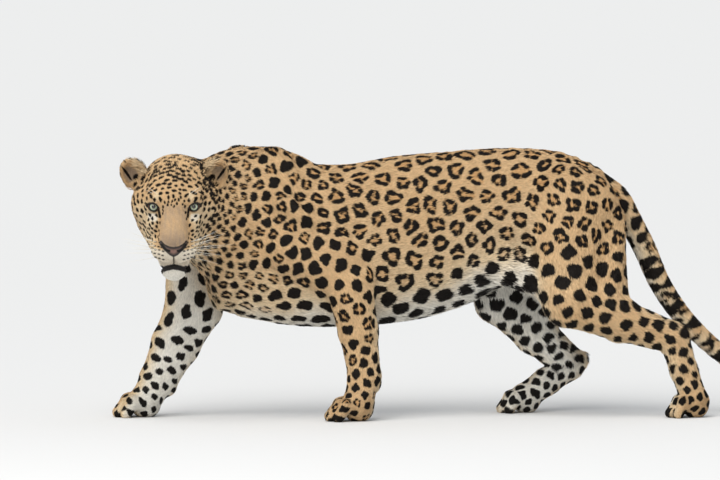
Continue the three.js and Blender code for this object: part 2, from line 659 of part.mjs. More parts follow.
// The frame's origin: on the ground, under the middle of the bounding box.
const middle = new THREE.Box3().setFromObject(leopard).getCenter(new THREE.Vector3());
for (const node of leopard.children) node.geometry.translate(-middle.x, -middle.y, 0);

export default leopard;
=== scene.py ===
import math

import bpy
import numpy as np
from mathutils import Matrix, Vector


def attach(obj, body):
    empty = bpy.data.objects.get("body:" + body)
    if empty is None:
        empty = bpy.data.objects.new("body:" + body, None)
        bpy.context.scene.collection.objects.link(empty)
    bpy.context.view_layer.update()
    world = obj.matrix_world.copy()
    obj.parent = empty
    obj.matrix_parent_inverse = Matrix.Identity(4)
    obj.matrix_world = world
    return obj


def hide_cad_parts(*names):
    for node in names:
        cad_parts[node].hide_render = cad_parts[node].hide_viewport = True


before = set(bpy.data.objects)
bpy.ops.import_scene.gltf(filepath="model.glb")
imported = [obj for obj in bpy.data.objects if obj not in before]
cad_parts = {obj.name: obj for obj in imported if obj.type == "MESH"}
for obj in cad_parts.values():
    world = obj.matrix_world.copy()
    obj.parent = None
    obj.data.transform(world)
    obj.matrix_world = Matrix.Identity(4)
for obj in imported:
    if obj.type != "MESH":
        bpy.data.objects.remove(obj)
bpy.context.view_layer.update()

# Hide, the shape under the coat. On a museum model one tanned skin is drawn over a carved body of
# muscle forms and glued down, so it runs unbroken from the nose to the tail. Here the forms are the
# same tapered limbs and muscles as the solids', and the hide lies inside them by the coat's depth.
MM = 0.001
CENTRING = np.array([-184.910, 47.186, 0.0])  # from the forms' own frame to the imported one, in mm
HEAD_CENTRE = np.array([-525.0, -100.0, 500.0])
HEAD_PITCH = math.radians(28)
HEAD_YAW = math.radians(82)
CHEST_HALF_WIDTH = 106
STANCE_FORE = 92
STANCE_HIND = 94
SOLE_DIP = 3
FAR = 1000.0
NEAR = 40.0  # forms further than this from a point don't shape it


def unit(v):
    v = np.asarray(v, float)
    return v / np.linalg.norm(v)


def between(a, b, t):
    return np.asarray(a, float) * (1 - t) + np.asarray(b, float) * t


def plus(a, b):
    return np.asarray(a, float) + np.asarray(b, float)


def oval_distance(u, w, along, ru, rw, re):
    """About how far a point is outside an ellipsoid with half sizes ru, rw and re."""
    u, w, along = u / ru, w / rw, along / re
    k0 = np.sqrt(u * u + w * w + along * along)
    u, w, along = u / ru, w / rw, along / re
    k1 = np.sqrt(u * u + w * w + along * along)
    return k0 * (k0 - 1) / np.maximum(k1, 1e-9)


class Limb:
    """A tapered limb of oval section from a to b, each size being [along side, across it]."""

    def __init__(self, a, b, size_a, size_b, side, blend=20, end=1.0, lie=None):
        self.a = np.asarray(a, float)
        run = np.asarray(b, float) - self.a
        self.length = max(np.linalg.norm(run), 1e-6)
        self.axis = run / self.length
        side = np.asarray(side, float)
        self.across = unit(side - self.axis * side.dot(self.axis))
        self.normal = np.cross(self.axis, self.across)
        self.size_a = np.asarray(size_a, float)
        self.size_b = np.asarray(size_b, float)
        self.blend = blend
        self.end = end
        self.middle = self.a + run / 2
        self.reach = max(*size_a, *size_b) + blend + self.length / 2
        self.lie = self.axis if lie is None else lie
        self.part = "body"

    def distance(self, p, centre=None, radius=0):
        d = p - self.a
        run = d @ self.axis
        t = np.clip(run / self.length, 0, 1)
        ru = self.size_a[0] + (self.size_b[0] - self.size_a[0]) * t
        rw = self.size_a[1] + (self.size_b[1] - self.size_a[1]) * t
        re = (ru + rw) * (self.end / 2)
        return oval_distance(d @ self.across, d @ self.normal, run - t * self.length, ru, rw, re)


class Muscle:
    """An ellipsoid, its half sizes along its direction, along its side, and across both."""

    def __init__(self, centre, direction, sizes, side, blend=20, lie=None):
        self.middle = np.asarray(centre, float)
        self.axis = unit(direction)
        side = np.asarray(side, float)
        self.across = unit(side - self.axis * side.dot(self.axis))
        self.normal = np.cross(self.axis, self.across)
        self.sizes = sizes
        self.blend = blend
        self.reach = max(sizes) + blend
        self.lie = lie
        self.part = "body"

    def distance(self, p, centre=None, radius=0):
        d = p - self.middle
        long, ru, rw = self.sizes
        return oval_distance(d @ self.across, d @ self.normal, d @ self.axis, ru, rw, long)


def smooth_line(points, t):
    """A point on the smooth curve through all the points, evenly paced from one to the next."""
    points = [np.asarray(p, float) for p in points]
    place = (len(points) - 1) * t
    i = min(int(place), len(points) - 2)
    s = place - i
    p1, p2 = points[i], points[i + 1]
    p0 = points[i - 1] if i > 0 else 2 * p1 - p2
    p3 = points[i + 2] if i + 2 < len(points) else 2 * p2 - p1
    gaps = [max(np.sum((b - a) ** 2), 1e-16) ** 0.25 for a, b in ((p0, p1), (p1, p2), (p2, p3))]
    g0, g1, g2 = gaps
    m1 = ((p1 - p0) / g0 - (p2 - p0) / (g0 + g1) + (p2 - p1) / g1) * g1
    m2 = ((p2 - p1) / g1 - (p3 - p1) / (g1 + g2) + (p3 - p2) / g2) * g1
    c2 = 3 * (p2 - p1) - 2 * m1 - m2
    c3 = 2 * (p1 - p2) + m1 + m2
    return p1 + s * (m1 + s * (c2 + s * c3))


class Tube:
    """A long form through several stations, each [x, y, z, half width along side, half depth]."""

    def __init__(self, stations, side, steps, blend=20, end=1.0, backwards=False):
        line = [s[:3] for s in stations]
        girth = [[s[3], s[4], 0] for s in stations]
        spots = [smooth_line(line, i / steps) for i in range(steps + 1)]
        sizes = [smooth_line(girth, i / steps)[:2] for i in range(steps + 1)]
        self.pieces = []
        for i in range(steps):
            tip = end if i in (0, steps - 1) else 0.6
            piece = Limb(spots[i], spots[i + 1], sizes[i], sizes[i + 1], side, blend, tip)
            if backwards:
                piece.lie = -piece.axis
            self.pieces.append(piece)
        self.blend = blend
        self.middle = smooth_line(line, 0.5)
        self.reach = max(np.linalg.norm(p.middle - self.middle) + p.reach for p in self.pieces)
        self.part = "body"

    def distance(self, p, centre, radius):
        d = np.full(len(p), FAR)
        for piece in self.pieces:
            if np.linalg.norm(piece.middle - centre) < piece.reach + radius + NEAR:
                d = np.minimum(d, piece.distance(p))
        return d


TRUNK = [
    [-405, 594, 242, 0.84],
    [-314, 606, 220, 0.98],
    [-227, 580, 204, 1.02],
    [-110, 575, 202, 1.06],
    [0, 592, 214, 1.06],
    [91, 602, 240, 1.0],
    [182, 609, 284, 0.92],
    [273, 610, 322, 0.88],
    [364, 600, 350, 0.84],
    [440, 566, 384, 0.66],
]  # x, top, bottom, half width as a share of the chest's
NECK = [
    [-340, 0, 452, 102, 146],
    [-420, -22, 466, 97, 132],
    [-482, -58, 480, 90, 107],
    [-518, -84, 492, 82, 90],
]
TAIL_LINE = [
    [452, 0, 520],
    [492, 0, 490],
    [524, 4, 437],
    [556, 8, 378],
    [592, 12, 298],
    [640, 16, 226],
    [708, 22, 156],
    [784, 30, 102],
    [864, 36, 76],
    [938, 38, 82],
    [1000, 36, 116],
]
TAIL_RADII = (33, 17)  # at its root and its tip
LEGS = {
    "fore_left": dict(
        side=-1,
        blade=[-296, -44, 586],
        shoulder=[-278, -88, 404],
        elbow=[-124, -STANCE_FORE - 4, 312],
        wrist=[-94, -STANCE_FORE, 104],
        ball=[-108, -STANCE_FORE, 38],
        toe_reach=62,
        forearm=[54, 48, 41],
    ),
    "fore_right": dict(
        side=1,
        blade=[-350, 44, 582],
        shoulder=[-454, 88, 402],
        elbow=[-456, STANCE_FORE - 4, 244],
        wrist=[-536, STANCE_FORE, 86],
        ball=[-566, STANCE_FORE, 38],
        toe_reach=60,
        forearm=[66, 58, 46],
    ),
    "hind_left": dict(
        side=-1,
        hip=[372, -66, 474],
        knee=[368, -STANCE_HIND - 12, 262],
        hock=[604, -STANCE_HIND, 180],
        ball=[656, -STANCE_HIND, 38],
        toe_reach=58,
    ),
    "hind_right": dict(
        side=1,
        hip=[366, 66, 470],
        knee=[244, STANCE_HIND + 8, 254],
        hock=[400, STANCE_HIND, 108],
        ball=[300, STANCE_HIND, 36],
        toe_reach=58,
    ),
}
FORE = [1, 0, 0]
UP = [0, 0, 1]


def paw(ball, reach, size):
    """Four toes and the pad behind them, from the ball of the foot forward."""
    x, y, z = ball
    s = size
    toward_toes = np.array([-1.0, 0, 0])
    made = [
        Muscle([x - 2, y, z - 2], FORE, [36 * s, 38 * s, 30 * s], [0, 1, 0], 14, toward_toes),
        Muscle([x + 2, y, 23 - SOLE_DIP], FORE, [30 * s, 31 * s, 23], [0, 1, 0], 10, toward_toes),
    ]
    for toe in range(4):
        spread = toe - 1.5
        length = (reach + (0 if abs(spread) < 1 else -13)) * s
        thick, thin = 17.5 * s, 14 * s
        root = [x - 18, y + spread * 18 * s, z - 2]
        knuckle = [x - 0.62 * length, y + spread * 21 * s, z - 2]
        tip = [x - length, y + spread * 22 * s, thin - SOLE_DIP]
        made.append(Limb(root, knuckle, [thick, thick], [thick, thick], [0, 1, 0], 9))
        made.append(Limb(knuckle, tip, [thick, thick], [thin, thin], [0, 1, 0], 5))
    return made


def across_swing(line):
    return [-line[2], 0, line[0]]


def toward(a, b):
    return np.asarray(b, float) - np.asarray(a, float)


def foreleg(side, blade, shoulder, elbow, wrist, ball, toe_reach, forearm):
    """A fore leg's muscles, from the top of the shoulder blade to the toes."""
    out = [0, side, 0]
    arm, shin = toward(shoulder, elbow), toward(elbow, wrist)
    halfway = between(elbow, wrist, 0.52)
    top, middle, bottom = forearm
    blade_muscle = plus(between(blade, shoulder, 0.55), [34, side * 10, -14])
    triceps = plus(between(shoulder, elbow, 0.62), [26, side * 4, 30])
    swell = plus(between(elbow, wrist, 0.2), [-16, side * 6, 0])
    return [
        Limb(blade, shoulder, [46, 22], [62, 38], FORE, 22),
        Muscle(blade_muscle, arm, [92, 52, 36], out, 18),
        Limb(shoulder, elbow, [68, 44], [top + 4, 42], across_swing(arm), 18),
        Muscle(triceps, arm, [78, 40, 54], out, 16),
        Muscle(plus(elbow, [26, 0, 6]), UP, [34, 24, 26], out, 14),
        Limb(elbow, halfway, [top, 44], [middle, 39], FORE, 14),
        Limb(halfway, wrist, [middle, 39], [bottom, 35], FORE, 14),
        Muscle(swell, shin, [80, 40, 40], out, 14),
        Limb(wrist, ball, [bottom - 2, 37], [34, 40], FORE, 10),
        Muscle(plus(wrist, [24, 0, -20]), UP, [20, 16, 17], out, 8),
        *paw(ball, toe_reach, 1.0),
    ]


def hindleg(side, hip, knee, hock, ball, toe_reach):
    """A hind leg's muscles, from the hip to the toes."""
    shin, thigh = toward(knee, hock), toward(hip, knee)
    shin_across = across_swing(shin)
    seat = [462, side * 46, 440]
    heel = plus(hock, [24, 0, 12])
    halfway = between(knee, hock, 0.5)
    instep = between(hock, ball, 0.5)
    return [
        Muscle(plus(hip, [26, side * 4, 30]), [1, 0, -0.4], [96, 62, 48], UP, 30),
        Limb(hip, knee, [98, 56], [62, 44], across_swing(thigh), 30),
        Limb(seat, between(knee, hock, 0.32), [54, 36], [42, 33], shin_across, 26),
        Limb(seat, halfway, [34, 26], [30, 26], shin_across, 26),
        Muscle(plus(knee, [-14, side * 2, 4]), thigh, [50, 38, 38], FORE, 18),
        Limb(knee, halfway, [56, 42], [51, 35], shin_across, 20),
        Limb(halfway, hock, [51, 35], [39, 27], shin_across, 16),
        Limb(between(knee, hock, 0.6), heel, [24, 20], [18, 18], shin_across, 14),
        Muscle(heel, [1, 0, 0.6], [19, 18, 18], [0, side, 0], 12),
        Limb(heel, between(hock, ball, 0.8), [17, 17], [24, 24], FORE, 12),
        Limb(hock, instep, [37, 29], [32, 29], FORE, 12),
        Limb(instep, ball, [32, 29], [31, 35], FORE, 12),
        *paw(ball, toe_reach, 0.92),
    ]


def flank_fold(side, knee):
    """Loose skin from the belly to the front of the knee."""
    end = plus(knee, [-12, side * -14, 36])
    return Limb([190, side * 58, 348], end, [34, 22], [44, 26], UP, 40)


# The head's own frame: x to the animal's right, y out through the nose, z up through the crown.
NOSE_WAY = np.array(
    [
        -math.cos(HEAD_YAW) * math.cos(HEAD_PITCH),
        -math.sin(HEAD_YAW) * math.cos(HEAD_PITCH),
        -math.sin(HEAD_PITCH),
    ]
)
RIGHT_WAY = np.array([-math.sin(HEAD_YAW), math.cos(HEAD_YAW), 0.0])
CROWN_WAY = np.cross(RIGHT_WAY, NOSE_WAY)
HEAD_AXES = np.array([RIGHT_WAY, NOSE_WAY, CROWN_WAY])
EYE_CENTRE = [45, 70, 27]
EAR_UPWARD = [0.55, -0.15, 0.82]
EAR_WIDTHWISE = [0.8, 0.3, -0.5]
EAR_CENTRE = [92, -34, 50]
EAR_CUP = [89, -19, 50]
ACROSS = [1, 0, 0]


def to_head(p):
    """Places on the body, in the head's frame."""
    return (p - HEAD_CENTRE) @ HEAD_AXES.T


def from_head(q):
    """Places in the head's frame, on the body."""
    return np.asarray(q, float) @ HEAD_AXES + HEAD_CENTRE


def mirrored(p, side):
    """A place in the head's frame, on the animal's right if side is 1 and on its left if it is -1."""
    return [side * p[0], p[1], p[2]]


def skull():
    """The head's forms, in its own frame."""
    made = [
        Muscle([0, -14, 12], [0, 1, 0], [92, 76, 76], ACROSS, 44),
        Muscle([0, 42, 34], [0, 1, -0.35], [60, 58, 40], ACROSS, 22),
        Muscle([0, -60, 4], [0, 1, 0], [52, 66, 62], ACROSS, 24),
        Limb([0, 66, 26], [0, 142, -10], [33, 30], [30, 22], ACROSS, 16),
        Muscle([0, 112, -36], [0, 1, -0.1], [58, 46, 34], ACROSS, 18),
        Limb([0, 30, -70], [0, 116, -98], [56, 38], [36, 28], ACROSS, 18),
        Muscle([0, 130, -103], [0, 1, 0.1], [28, 32, 29], ACROSS, 14),
        Muscle([0, 152, -21], [0, 1, -0.2], [21, 28, 19], ACROSS, 9),
        Muscle([0, 16, -80], [0, 1, 0], [70, 54, 36], ACROSS, 24),
    ]
    for s in (1, -1):
        made += [
            Muscle([s * 55, 14, -6], [s * -0.3, 1, 0.05], [60, 40, 44], ACROSS, 20),
            Muscle([s * 49, 0, -46], [s * -0.2, 1, -0.15], [54, 36, 48], ACROSS, 20),
            Muscle([s * 40, 64, 47], [s * 0.4, 1, -0.3], [20, 24, 12], ACROSS, 12),
            Muscle([s * 44, 82, -8], [s * -0.2, 1, -0.2], [34, 19, 26], ACROSS, 14),
            Muscle([s * 38, 64, -50], [s * -0.15, 1, -0.1], [60, 26, 36], ACROSS, 20),
            Muscle([s * 27, 134, -47], [s * 0.1, 1, -0.1], [32, 27, 24], ACROSS, 8),
            Muscle([s * 17, 126, -63], [s * 0.1, 1, -0.05], [28, 20, 19], ACROSS, 8),
            Muscle(mirrored(EYE_CENTRE, s), [0, 1, 0], [20.5, 22, 20.5], ACROSS, 8),
        ]
    for s in (1, -1):
        wide = mirrored(EAR_WIDTHWISE, s)
        made.append(Muscle(mirrored(EAR_CENTRE, s), mirrored(EAR_UPWARD, s), [42, 34, 17], wide, 14))
    return made


def onto_head(form):
    """A form given in the head's frame, turned and moved to its place on the body."""
    form.middle = from_head(form.middle)
    if isinstance(form, Limb):
        form.a = from_head(form.a)
    form.axis = form.axis @ HEAD_AXES
    form.across = form.across @ HEAD_AXES
    form.normal = form.normal @ HEAD_AXES
    form.lie = None
    return form


def named(part, made):
    """The forms made, each marked as belonging to one part of the body."""
    for form in made:
        form.part = part
    return made


trunk_stations = [
    [x, 0, (top + bottom) / 2, width * CHEST_HALF_WIDTH, (top - bottom) / 2]
    for x, top, bottom, width in TRUNK
]
tail_stations = []
for i, spot in enumerate(TAIL_LINE):
    taper = (i / (len(TAIL_LINE) - 1)) ** 1.2
    radius = TAIL_RADII[0] + (TAIL_RADII[1] - TAIL_RADII[0]) * taper
    tail_stations.append([*spot, radius, radius])
LEG_MAKERS = {"fore_left": foreleg, "fore_right": foreleg, "hind_left": hindleg, "hind_right": hindleg}
forms = named("trunk", [Tube(trunk_stations, [0, 1, 0], 26, 30, 0.35)])
forms += named("trunk", [Muscle([-322, 0, 562], FORE, [112, 54, 46], [0, 1, 0], 30)])
forms += named("neck", [Tube(NECK, [0.35, 1, 0], 10, 40, 0.5, backwards=True)])
for leg_name, maker in LEG_MAKERS.items():
    forms += named(leg_name, maker(**LEGS[leg_name]))
for leg_name in ("hind_left", "hind_right"):
    leg = LEGS[leg_name]
    forms += named("trunk", [flank_fold(leg["side"], leg["knee"])])
forms += named("tail", [Tube(tail_stations, [0, 1, 0], 34, 16, 1.4)])
forms += named("head", [onto_head(form) for form in skull()])


def gathered(points, cell):
    """The points in small neighbouring groups, as rows with each group's centre and radius."""
    place = np.floor(points / cell).astype(np.int64)
    key = (place[:, 0] * 1024 + place[:, 1]) * 1024 + place[:, 2]
    order = np.argsort(key, kind="stable")
    turns = np.flatnonzero(np.diff(key[order])) + 1
    for rows in np.split(order, turns):
        p = points[rows]
        low, high = p.min(0), p.max(0)
        yield rows, p, (low + high) / 2, np.linalg.norm(high - low) / 2


def flesh(points):
    """How far points are outside the whole blended body, right to within NEAR of it."""
    out = np.full(len(points), FAR)
    for rows, p, centre, radius in gathered(points, 72):
        d = np.full(len(p), FAR)
        for form in forms:
            if np.linalg.norm(form.middle - centre) > form.reach + radius + NEAR:
                continue
            e = form.distance(p, centre, radius)
            h = np.maximum(form.blend - np.abs(d - e), 0) / form.blend
            d = np.minimum(d, e) - h * h * (form.blend / 4)
        out[rows] = d
    return out


def fade(x, start, end):
    """0 before start and 1 past end, with a smooth rise between."""
    t = np.clip((x - start) / (end - start), 0, 1)
    return t * t * (3 - 2 * t)


def coat_depth(points):
    """How deep the hide lies under the tips of the coat, which is short on the face and the feet."""
    q = to_head(points)
    far_from_head = np.linalg.norm(q / [120, 190, 140], axis=1)
    on_head = 1 - fade(far_from_head, 0.75, 1.05)
    on_face = fade(q[:, 1], -20, 90) * on_head
    on_ear = on_head * fade(np.abs(q[:, 0]), 70, 88) * fade(q[:, 2], 18, 34)
    depth = 7.0 - 3.6 * on_head - 1.9 * on_face
    depth = depth + (1.5 - depth) * on_ear
    low = 1 - fade(points[:, 2], 40, 130)
    on_foot = low * (1 - fade(points[:, 0], 690, 720))
    return depth - 4.4 * on_foot


HEAD_ROOM = ([-128, -84, -150], [128, 200, 112])  # the head's finer mesh fills this box, in its frame
PAW_ROOM = ([-88, -56, -12], [56, 56, 66])  # and each paw's, from below its ball
ROOM_OVERLAP = 12.0
SOLE_LEVEL = 0.8


def box_gap(q, low, high):
    """How far points are outside a box, by the largest of the distances to its sides."""
    return np.maximum(np.asarray(low) - q, q - np.asarray(high)).max(1)


paw_spots = [np.array([LEGS[n]["ball"][0], LEGS[n]["ball"][1], 0.0]) for n in LEGS]


def room_gaps(points):
    """Distances outside each of the finer rooms: the head's, then the paws'."""
    gaps = [box_gap(to_head(points), *HEAD_ROOM)]
    for spot in paw_spots:
        gaps.append(box_gap(points - spot, *PAW_ROOM))
    return gaps


GAZE = np.array([0, 0.848, 0.530])  # the eyes look level while the head tips down
LID_HALF = 14.0
LID_RISE = (5.4, 8.8)  # the upper lid's arch over the corners, and the lower lid's under them
LID_TILT = 0.2


def lid_place(q, side):
    """Where points are round one eye: outward across it, up it, and forward along the gaze."""
    d = (q - mirrored(EYE_CENTRE, side)) * [side, 1, 1]
    x = d[:, 0]
    z = d @ np.array([0, -GAZE[2], GAZE[1]])
    c, s = math.cos(LID_TILT), math.sin(LID_TILT)
    return x * c + z * s, z * c - x * s, d @ GAZE


def lid_edges(q, side):
    """How far points are outside the opening between the lids of one eye, seen along the gaze, then how
    far above the upper lid's edge they are, and how far forward."""
    x, z, y = lid_place(q, side)
    x = x - 0.8
    z = z + 0.16 * np.clip(-x, 0, 30)  # the inner corner runs down to the tear line
    arch = np.maximum(1 - np.abs(x / LID_HALF) ** 2.2, -1.5)
    over = z - LID_RISE[0] * arch
    under = -z - LID_RISE[1] * arch
    return np.maximum(over, under) * 0.85, over, y


def ear_cup(q, side):
    """Distance outside the hollow of one ear."""
    upward, wide = mirrored(EAR_UPWARD, side), mirrored(EAR_WIDTHWISE, side)
    return Muscle(mirrored(EAR_CUP, side), upward, [35, 27, 19], wide).distance(q)


# The face seen along the gaze: mm to the animal's right, and mm up from the middle of the brain case.
FACE_UP = np.array([0, -0.530, 0.848])
LIP_LINE = [[0, -144], [8, -147], [18, -152], [27, -152], [36, -145], [46, -134]]
LIPS_BEHIND = 84.0  # the lips end this far forward


def off_line(points, line):
    """Distance from points to a line through several places."""
    least = np.full(len(points), FAR)
    line = np.asarray(line, float)
    for a, b in zip(line, line[1:]):
        run = b - a
        t = np.clip((points - a) @ run / run.dot(run), 0, 1)
        least = np.minimum(least, np.linalg.norm(points - a - t[:, None] * run, axis=1))
    return least


def face_plane(q):
    """Places in the face plane, seen along the gaze."""
    return np.stack([q[:, 0], q @ FACE_UP], 1)


def half_face(q):
    """Places in the face plane, with both its halves laid on one."""
    return np.stack([np.abs(q[:, 0]), q @ FACE_UP], 1)


def mouth_groove(q):
    """Distance from the line where the lips meet, which dips to each side under the muzzle."""
    flat = half_face(q)
    return off_line(flat, LIP_LINE) + 0.5 * np.maximum(0, LIPS_BEHIND - q[:, 1])


NOSE_TOP = [[29, -90], [22, -99], [12, -105], [0, -107]]
NOSTRIL_LINE = [[25, -99], [21, -106], [15, -111.5], [9.5, -112.5]]


def carved(points, f):
    """The hide's own detail on the head: ear cups, lids, lips, nostrils and the groove under the nose."""
    q = to_head(points)
    near = np.flatnonzero(box_gap(q, [-140, -90, -150], [140, 200, 120]) < 0)
    if not len(near):
        return f
    f = f.copy()
    r = q[near]
    d = f[near]
    for side in (1, -1):
        d = np.maximum(d, -ear_cup(r, side))
        outside, over, y = lid_edges(r, side)
        here = (np.abs(y) < 40) & (np.abs(r[:, 0] - side * 45) < 26)
        crease = np.exp(-(((over - 5.2) / 1.5) ** 2)) * fade(y, 4, 10) * here
        pouch = np.exp(-(((outside - 5.5) / 1.8) ** 2)) * (over < -6) * fade(y, 4, 10) * here
        d = d + 1.3 * crease + 0.8 * pouch
        d = np.maximum(d, -np.where(here, np.maximum(outside, -2 - y), 9))
    flat = half_face(r)
    front = fade(r[:, 1], 120, 135)
    d = d + 4.0 * np.exp(-((mouth_groove(r) / 2.4) ** 2))
    d = d + 2.2 * front * np.exp(-((off_line(flat, [[0, -124], [0, -142]]) / 1.9) ** 2))
    slit = off_line(flat, NOSTRIL_LINE)
    d = d + 3.5 * front * np.exp(-((slit / 2.3) ** 2))
    rim = off_line(flat, NOSE_TOP)
    d = d - 0.9 * front * np.exp(-((rim / 2.2) ** 2))
    f[near] = d
    return f


# Folds of loose skin on the near side: X and Z from end to end, then how wide and how high each is.
FOLDS = [
    ([[-266, 572], [-214, 496], [-150, 408], [-98, 336]], 10, 4.5),
    ([[-286, 560], [-236, 480], [-176, 396], [-128, 340]], 9, -4.0),
    ([[-242, 580], [-190, 500], [-120, 410]], 8, -2.5),
    ([[-330, 470], [-290, 420], [-240, 372]], 9, -2.0),
    ([[250, 420], [262, 372], [250, 322]], 12, -3.0),
]


def fold_height(points):
    """How far the folds raise the hide at each point."""
    flat = points[:, [0, 2]]
    high = np.zeros(len(points))
    near = (points[:, 1] < -40) & (points[:, 2] > 280) & (np.abs(points[:, 0] + 30) < 330)
    rows = np.flatnonzero(near)
    for line, wide, rise in FOLDS:
        high[rows] += rise * np.exp(-((off_line(flat[rows], line) / wide) ** 2))
    return high


def hide_field(points):
    """How far points are outside the hide, which is cut flat at the soles."""
    f = carved(points, flesh(points) + coat_depth(points) - fold_height(points))
    return np.maximum(f, SOLE_LEVEL - points[:, 2])


def body_field(points):
    """The hide outside the finer rooms, and for a short way into them."""
    gaps = np.min(room_gaps(points), axis=0)
    return np.maximum(hide_field(points), -gaps - ROOM_OVERLAP)


def surface(field, xs, ys, zs):
    """The closed surface where a field is zero, as vertices and quads, on the grid of the lines given."""
    grid = np.stack([a.ravel() for a in np.meshgrid(xs, ys, zs, indexing="ij")], 1)
    shape = (len(xs), len(ys), len(zs))
    values = field(grid).reshape(shape)
    for axis in range(3):
        rim = [slice(None)] * 3
        for end in (0, -1):
            rim[axis] = end
            values[tuple(rim)] = np.maximum(values[tuple(rim)], 0.05)
    lines = (xs, ys, zs)
    cells = np.array(shape) - 1
    sums = np.zeros((4, cells.prod()))
    inside = values < 0
    stride = np.array([cells[1] * cells[2], cells[2], 1])
    quads = []
    for axis in range(3):
        low = [slice(None)] * 3
        high = [slice(None)] * 3
        low[axis], high[axis] = slice(None, -1), slice(1, None)
        crossing = np.argwhere(inside[tuple(low)] != inside[tuple(high)])
        ahead = crossing.copy()
        ahead[:, axis] += 1
        va, vb = values[tuple(crossing.T)], values[tuple(ahead.T)]
        t = va / (va - vb)
        spot = np.stack([lines[n][crossing[:, n]] for n in range(3)])
        spot[axis] += t * (lines[axis][ahead[:, axis]] - lines[axis][crossing[:, axis]])
        first, second = (axis + 1) % 3, (axis + 2) % 3
        flat = crossing @ stride
        ring = [flat - stride[first] - stride[second], flat - stride[second], flat, flat - stride[first]]
        for corner in ring:
            for n in range(3):
                sums[n] += np.bincount(corner, spot[n], len(sums[0]))
            sums[3] += np.bincount(corner, minlength=len(sums[0]))
        quad = np.stack(ring, 1)
        quads.append(np.where((va < 0)[:, None], quad, quad[:, ::-1]))
    used = np.flatnonzero(sums[3])
    number = np.zeros(len(sums[0]), np.int64)
    number[used] = np.arange(len(used))
    return (sums[:3, used] / sums[3, used]).T, number[np.concatenate(quads)]


def slope(points, field, value, step=0.4):
    """Which way a field rises, and how fast."""
    return np.stack([(field(points + step * np.eye(3)[n]) - value) / step for n in range(3)], 1)


def settled(points, field, most, rounds=2):
    """Points brought onto the surface where the field is zero, each moved by no more than most."""
    start = points
    for _ in range(rounds):
        value = field(points)
        rise = slope(points, field, value)
        move = value[:, None] * rise / np.maximum((rise**2).sum(1), 0.3)[:, None]
        points = points - np.clip(move, -most, most)
    return start + np.clip(points - start, -most, most)


def paced(stops):
    """Grid lines from stop to stop, each [place, spacing from there on]."""
    lines = []
    for (a, cell), (b, _) in zip(stops, stops[1:]):
        count = max(1, round((b - a) / cell))
        lines += [a + (b - a) * i / count for i in range(count)]
    return np.array(lines + [stops[-1][0]], float)


BODY_CELL = 7.3
body_lines = (
    np.arange(-640, 1052, BODY_CELL),
    np.arange(-270, 182, BODY_CELL),
    paced([[-8, 5], [110, BODY_CELL], [640, 0]]),
)
head_lines = (
    paced([[-144, 4.3], [-62, 2.0], [62, 4.3], [144, 0]]),
    paced([[-98, 4.5], [40, 2.2], [196, 0]]),
    paced([[-164, 4.2], [-128, 2.2], [58, 3.4], [112, 0]]),
)
paw_lines = (np.arange(-104, 72, 3.4), np.arange(-70, 71, 3.4), np.arange(-5, 84, 3.4))


def part_of_hide(lines, place, gap_of):
    """One stretch of the hide in its own finer room. Past the room it dives under its neighbour."""

    def field(q):
        p = place(q)
        gap = gap_of(p)
        return np.maximum(hide_field(p) + 2.0 * fade(gap, 0, ROOM_OVERLAP), gap - ROOM_OVERLAP)

    spots, quads = surface(field, *lines)
    cell = min(np.diff(line).min() for line in lines)
    return place(settled(spots, field, cell)), quads


hide_parts = []
spots, quads = surface(body_field, *body_lines)
hide_parts.append((settled(spots, body_field, BODY_CELL), quads))
hide_parts.append(part_of_hide(head_lines, from_head, lambda p: box_gap(to_head(p), *HEAD_ROOM)))
for spot in paw_spots:
    hide_parts.append(part_of_hide(paw_lines, lambda q: q + spot, lambda p: box_gap(p - spot, *PAW_ROOM)))
starts = np.cumsum([0] + [len(spots) for spots, quads in hide_parts])
hide_spots = np.concatenate([spots for spots, quads in hide_parts])
hide_quads = np.concatenate([quads + n for (spots, quads), n in zip(hide_parts, starts)])


def in_scene(name, data):
    """A new object of this data, in the scene."""
    made = bpy.data.objects.new(name, data)
    bpy.context.scene.collection.objects.link(made)
    return made


def mesh_object(name, spots, faces, smooth=True):
    """A mesh object from points in mm in the forms' own frame and an array of like faces."""
    mesh = bpy.data.meshes.new(name)
    count, sides = faces.shape
    mesh.vertices.add(len(spots))
    mesh.vertices.foreach_set("co", ((spots + CENTRING) * MM).astype(np.float32).ravel())
    mesh.loops.add(count * sides)
    mesh.loops.foreach_set("vertex_index", faces.astype(np.int32).ravel())
    mesh.polygons.add(count)
    mesh.polygons.foreach_set("loop_start", np.arange(0, count * sides, sides, dtype=np.int32))
    mesh.update(calc_edges=True)
    mesh.polygons.foreach_set("use_smooth", np.full(count, smooth))
    return in_scene(name, mesh)


def corner_normals(spots, quads):
    """The way the surface faces at each vertex."""
    across = np.cross(spots[quads[:, 2]] - spots[quads[:, 0]], spots[quads[:, 3]] - spots[quads[:, 1]])
    sums = [np.bincount(quads.ravel(), np.repeat(across[:, n], 4), len(spots)) for n in range(3)]
    total = np.stack(sums, 1)
    return total / np.maximum(np.linalg.norm(total, axis=1), 1e-9)[:, None]


# The coat's lie, length and ground colour over the hide. On the real animal the hair points from the
# nose back to the tail and down the legs, is shortest on the face and feet, and is longest below.
PARTS = ["trunk", "neck", "fore_left", "fore_right", "hind_left", "hind_right", "tail", "head"]
NOSE_TIP = [0, 165, -25]


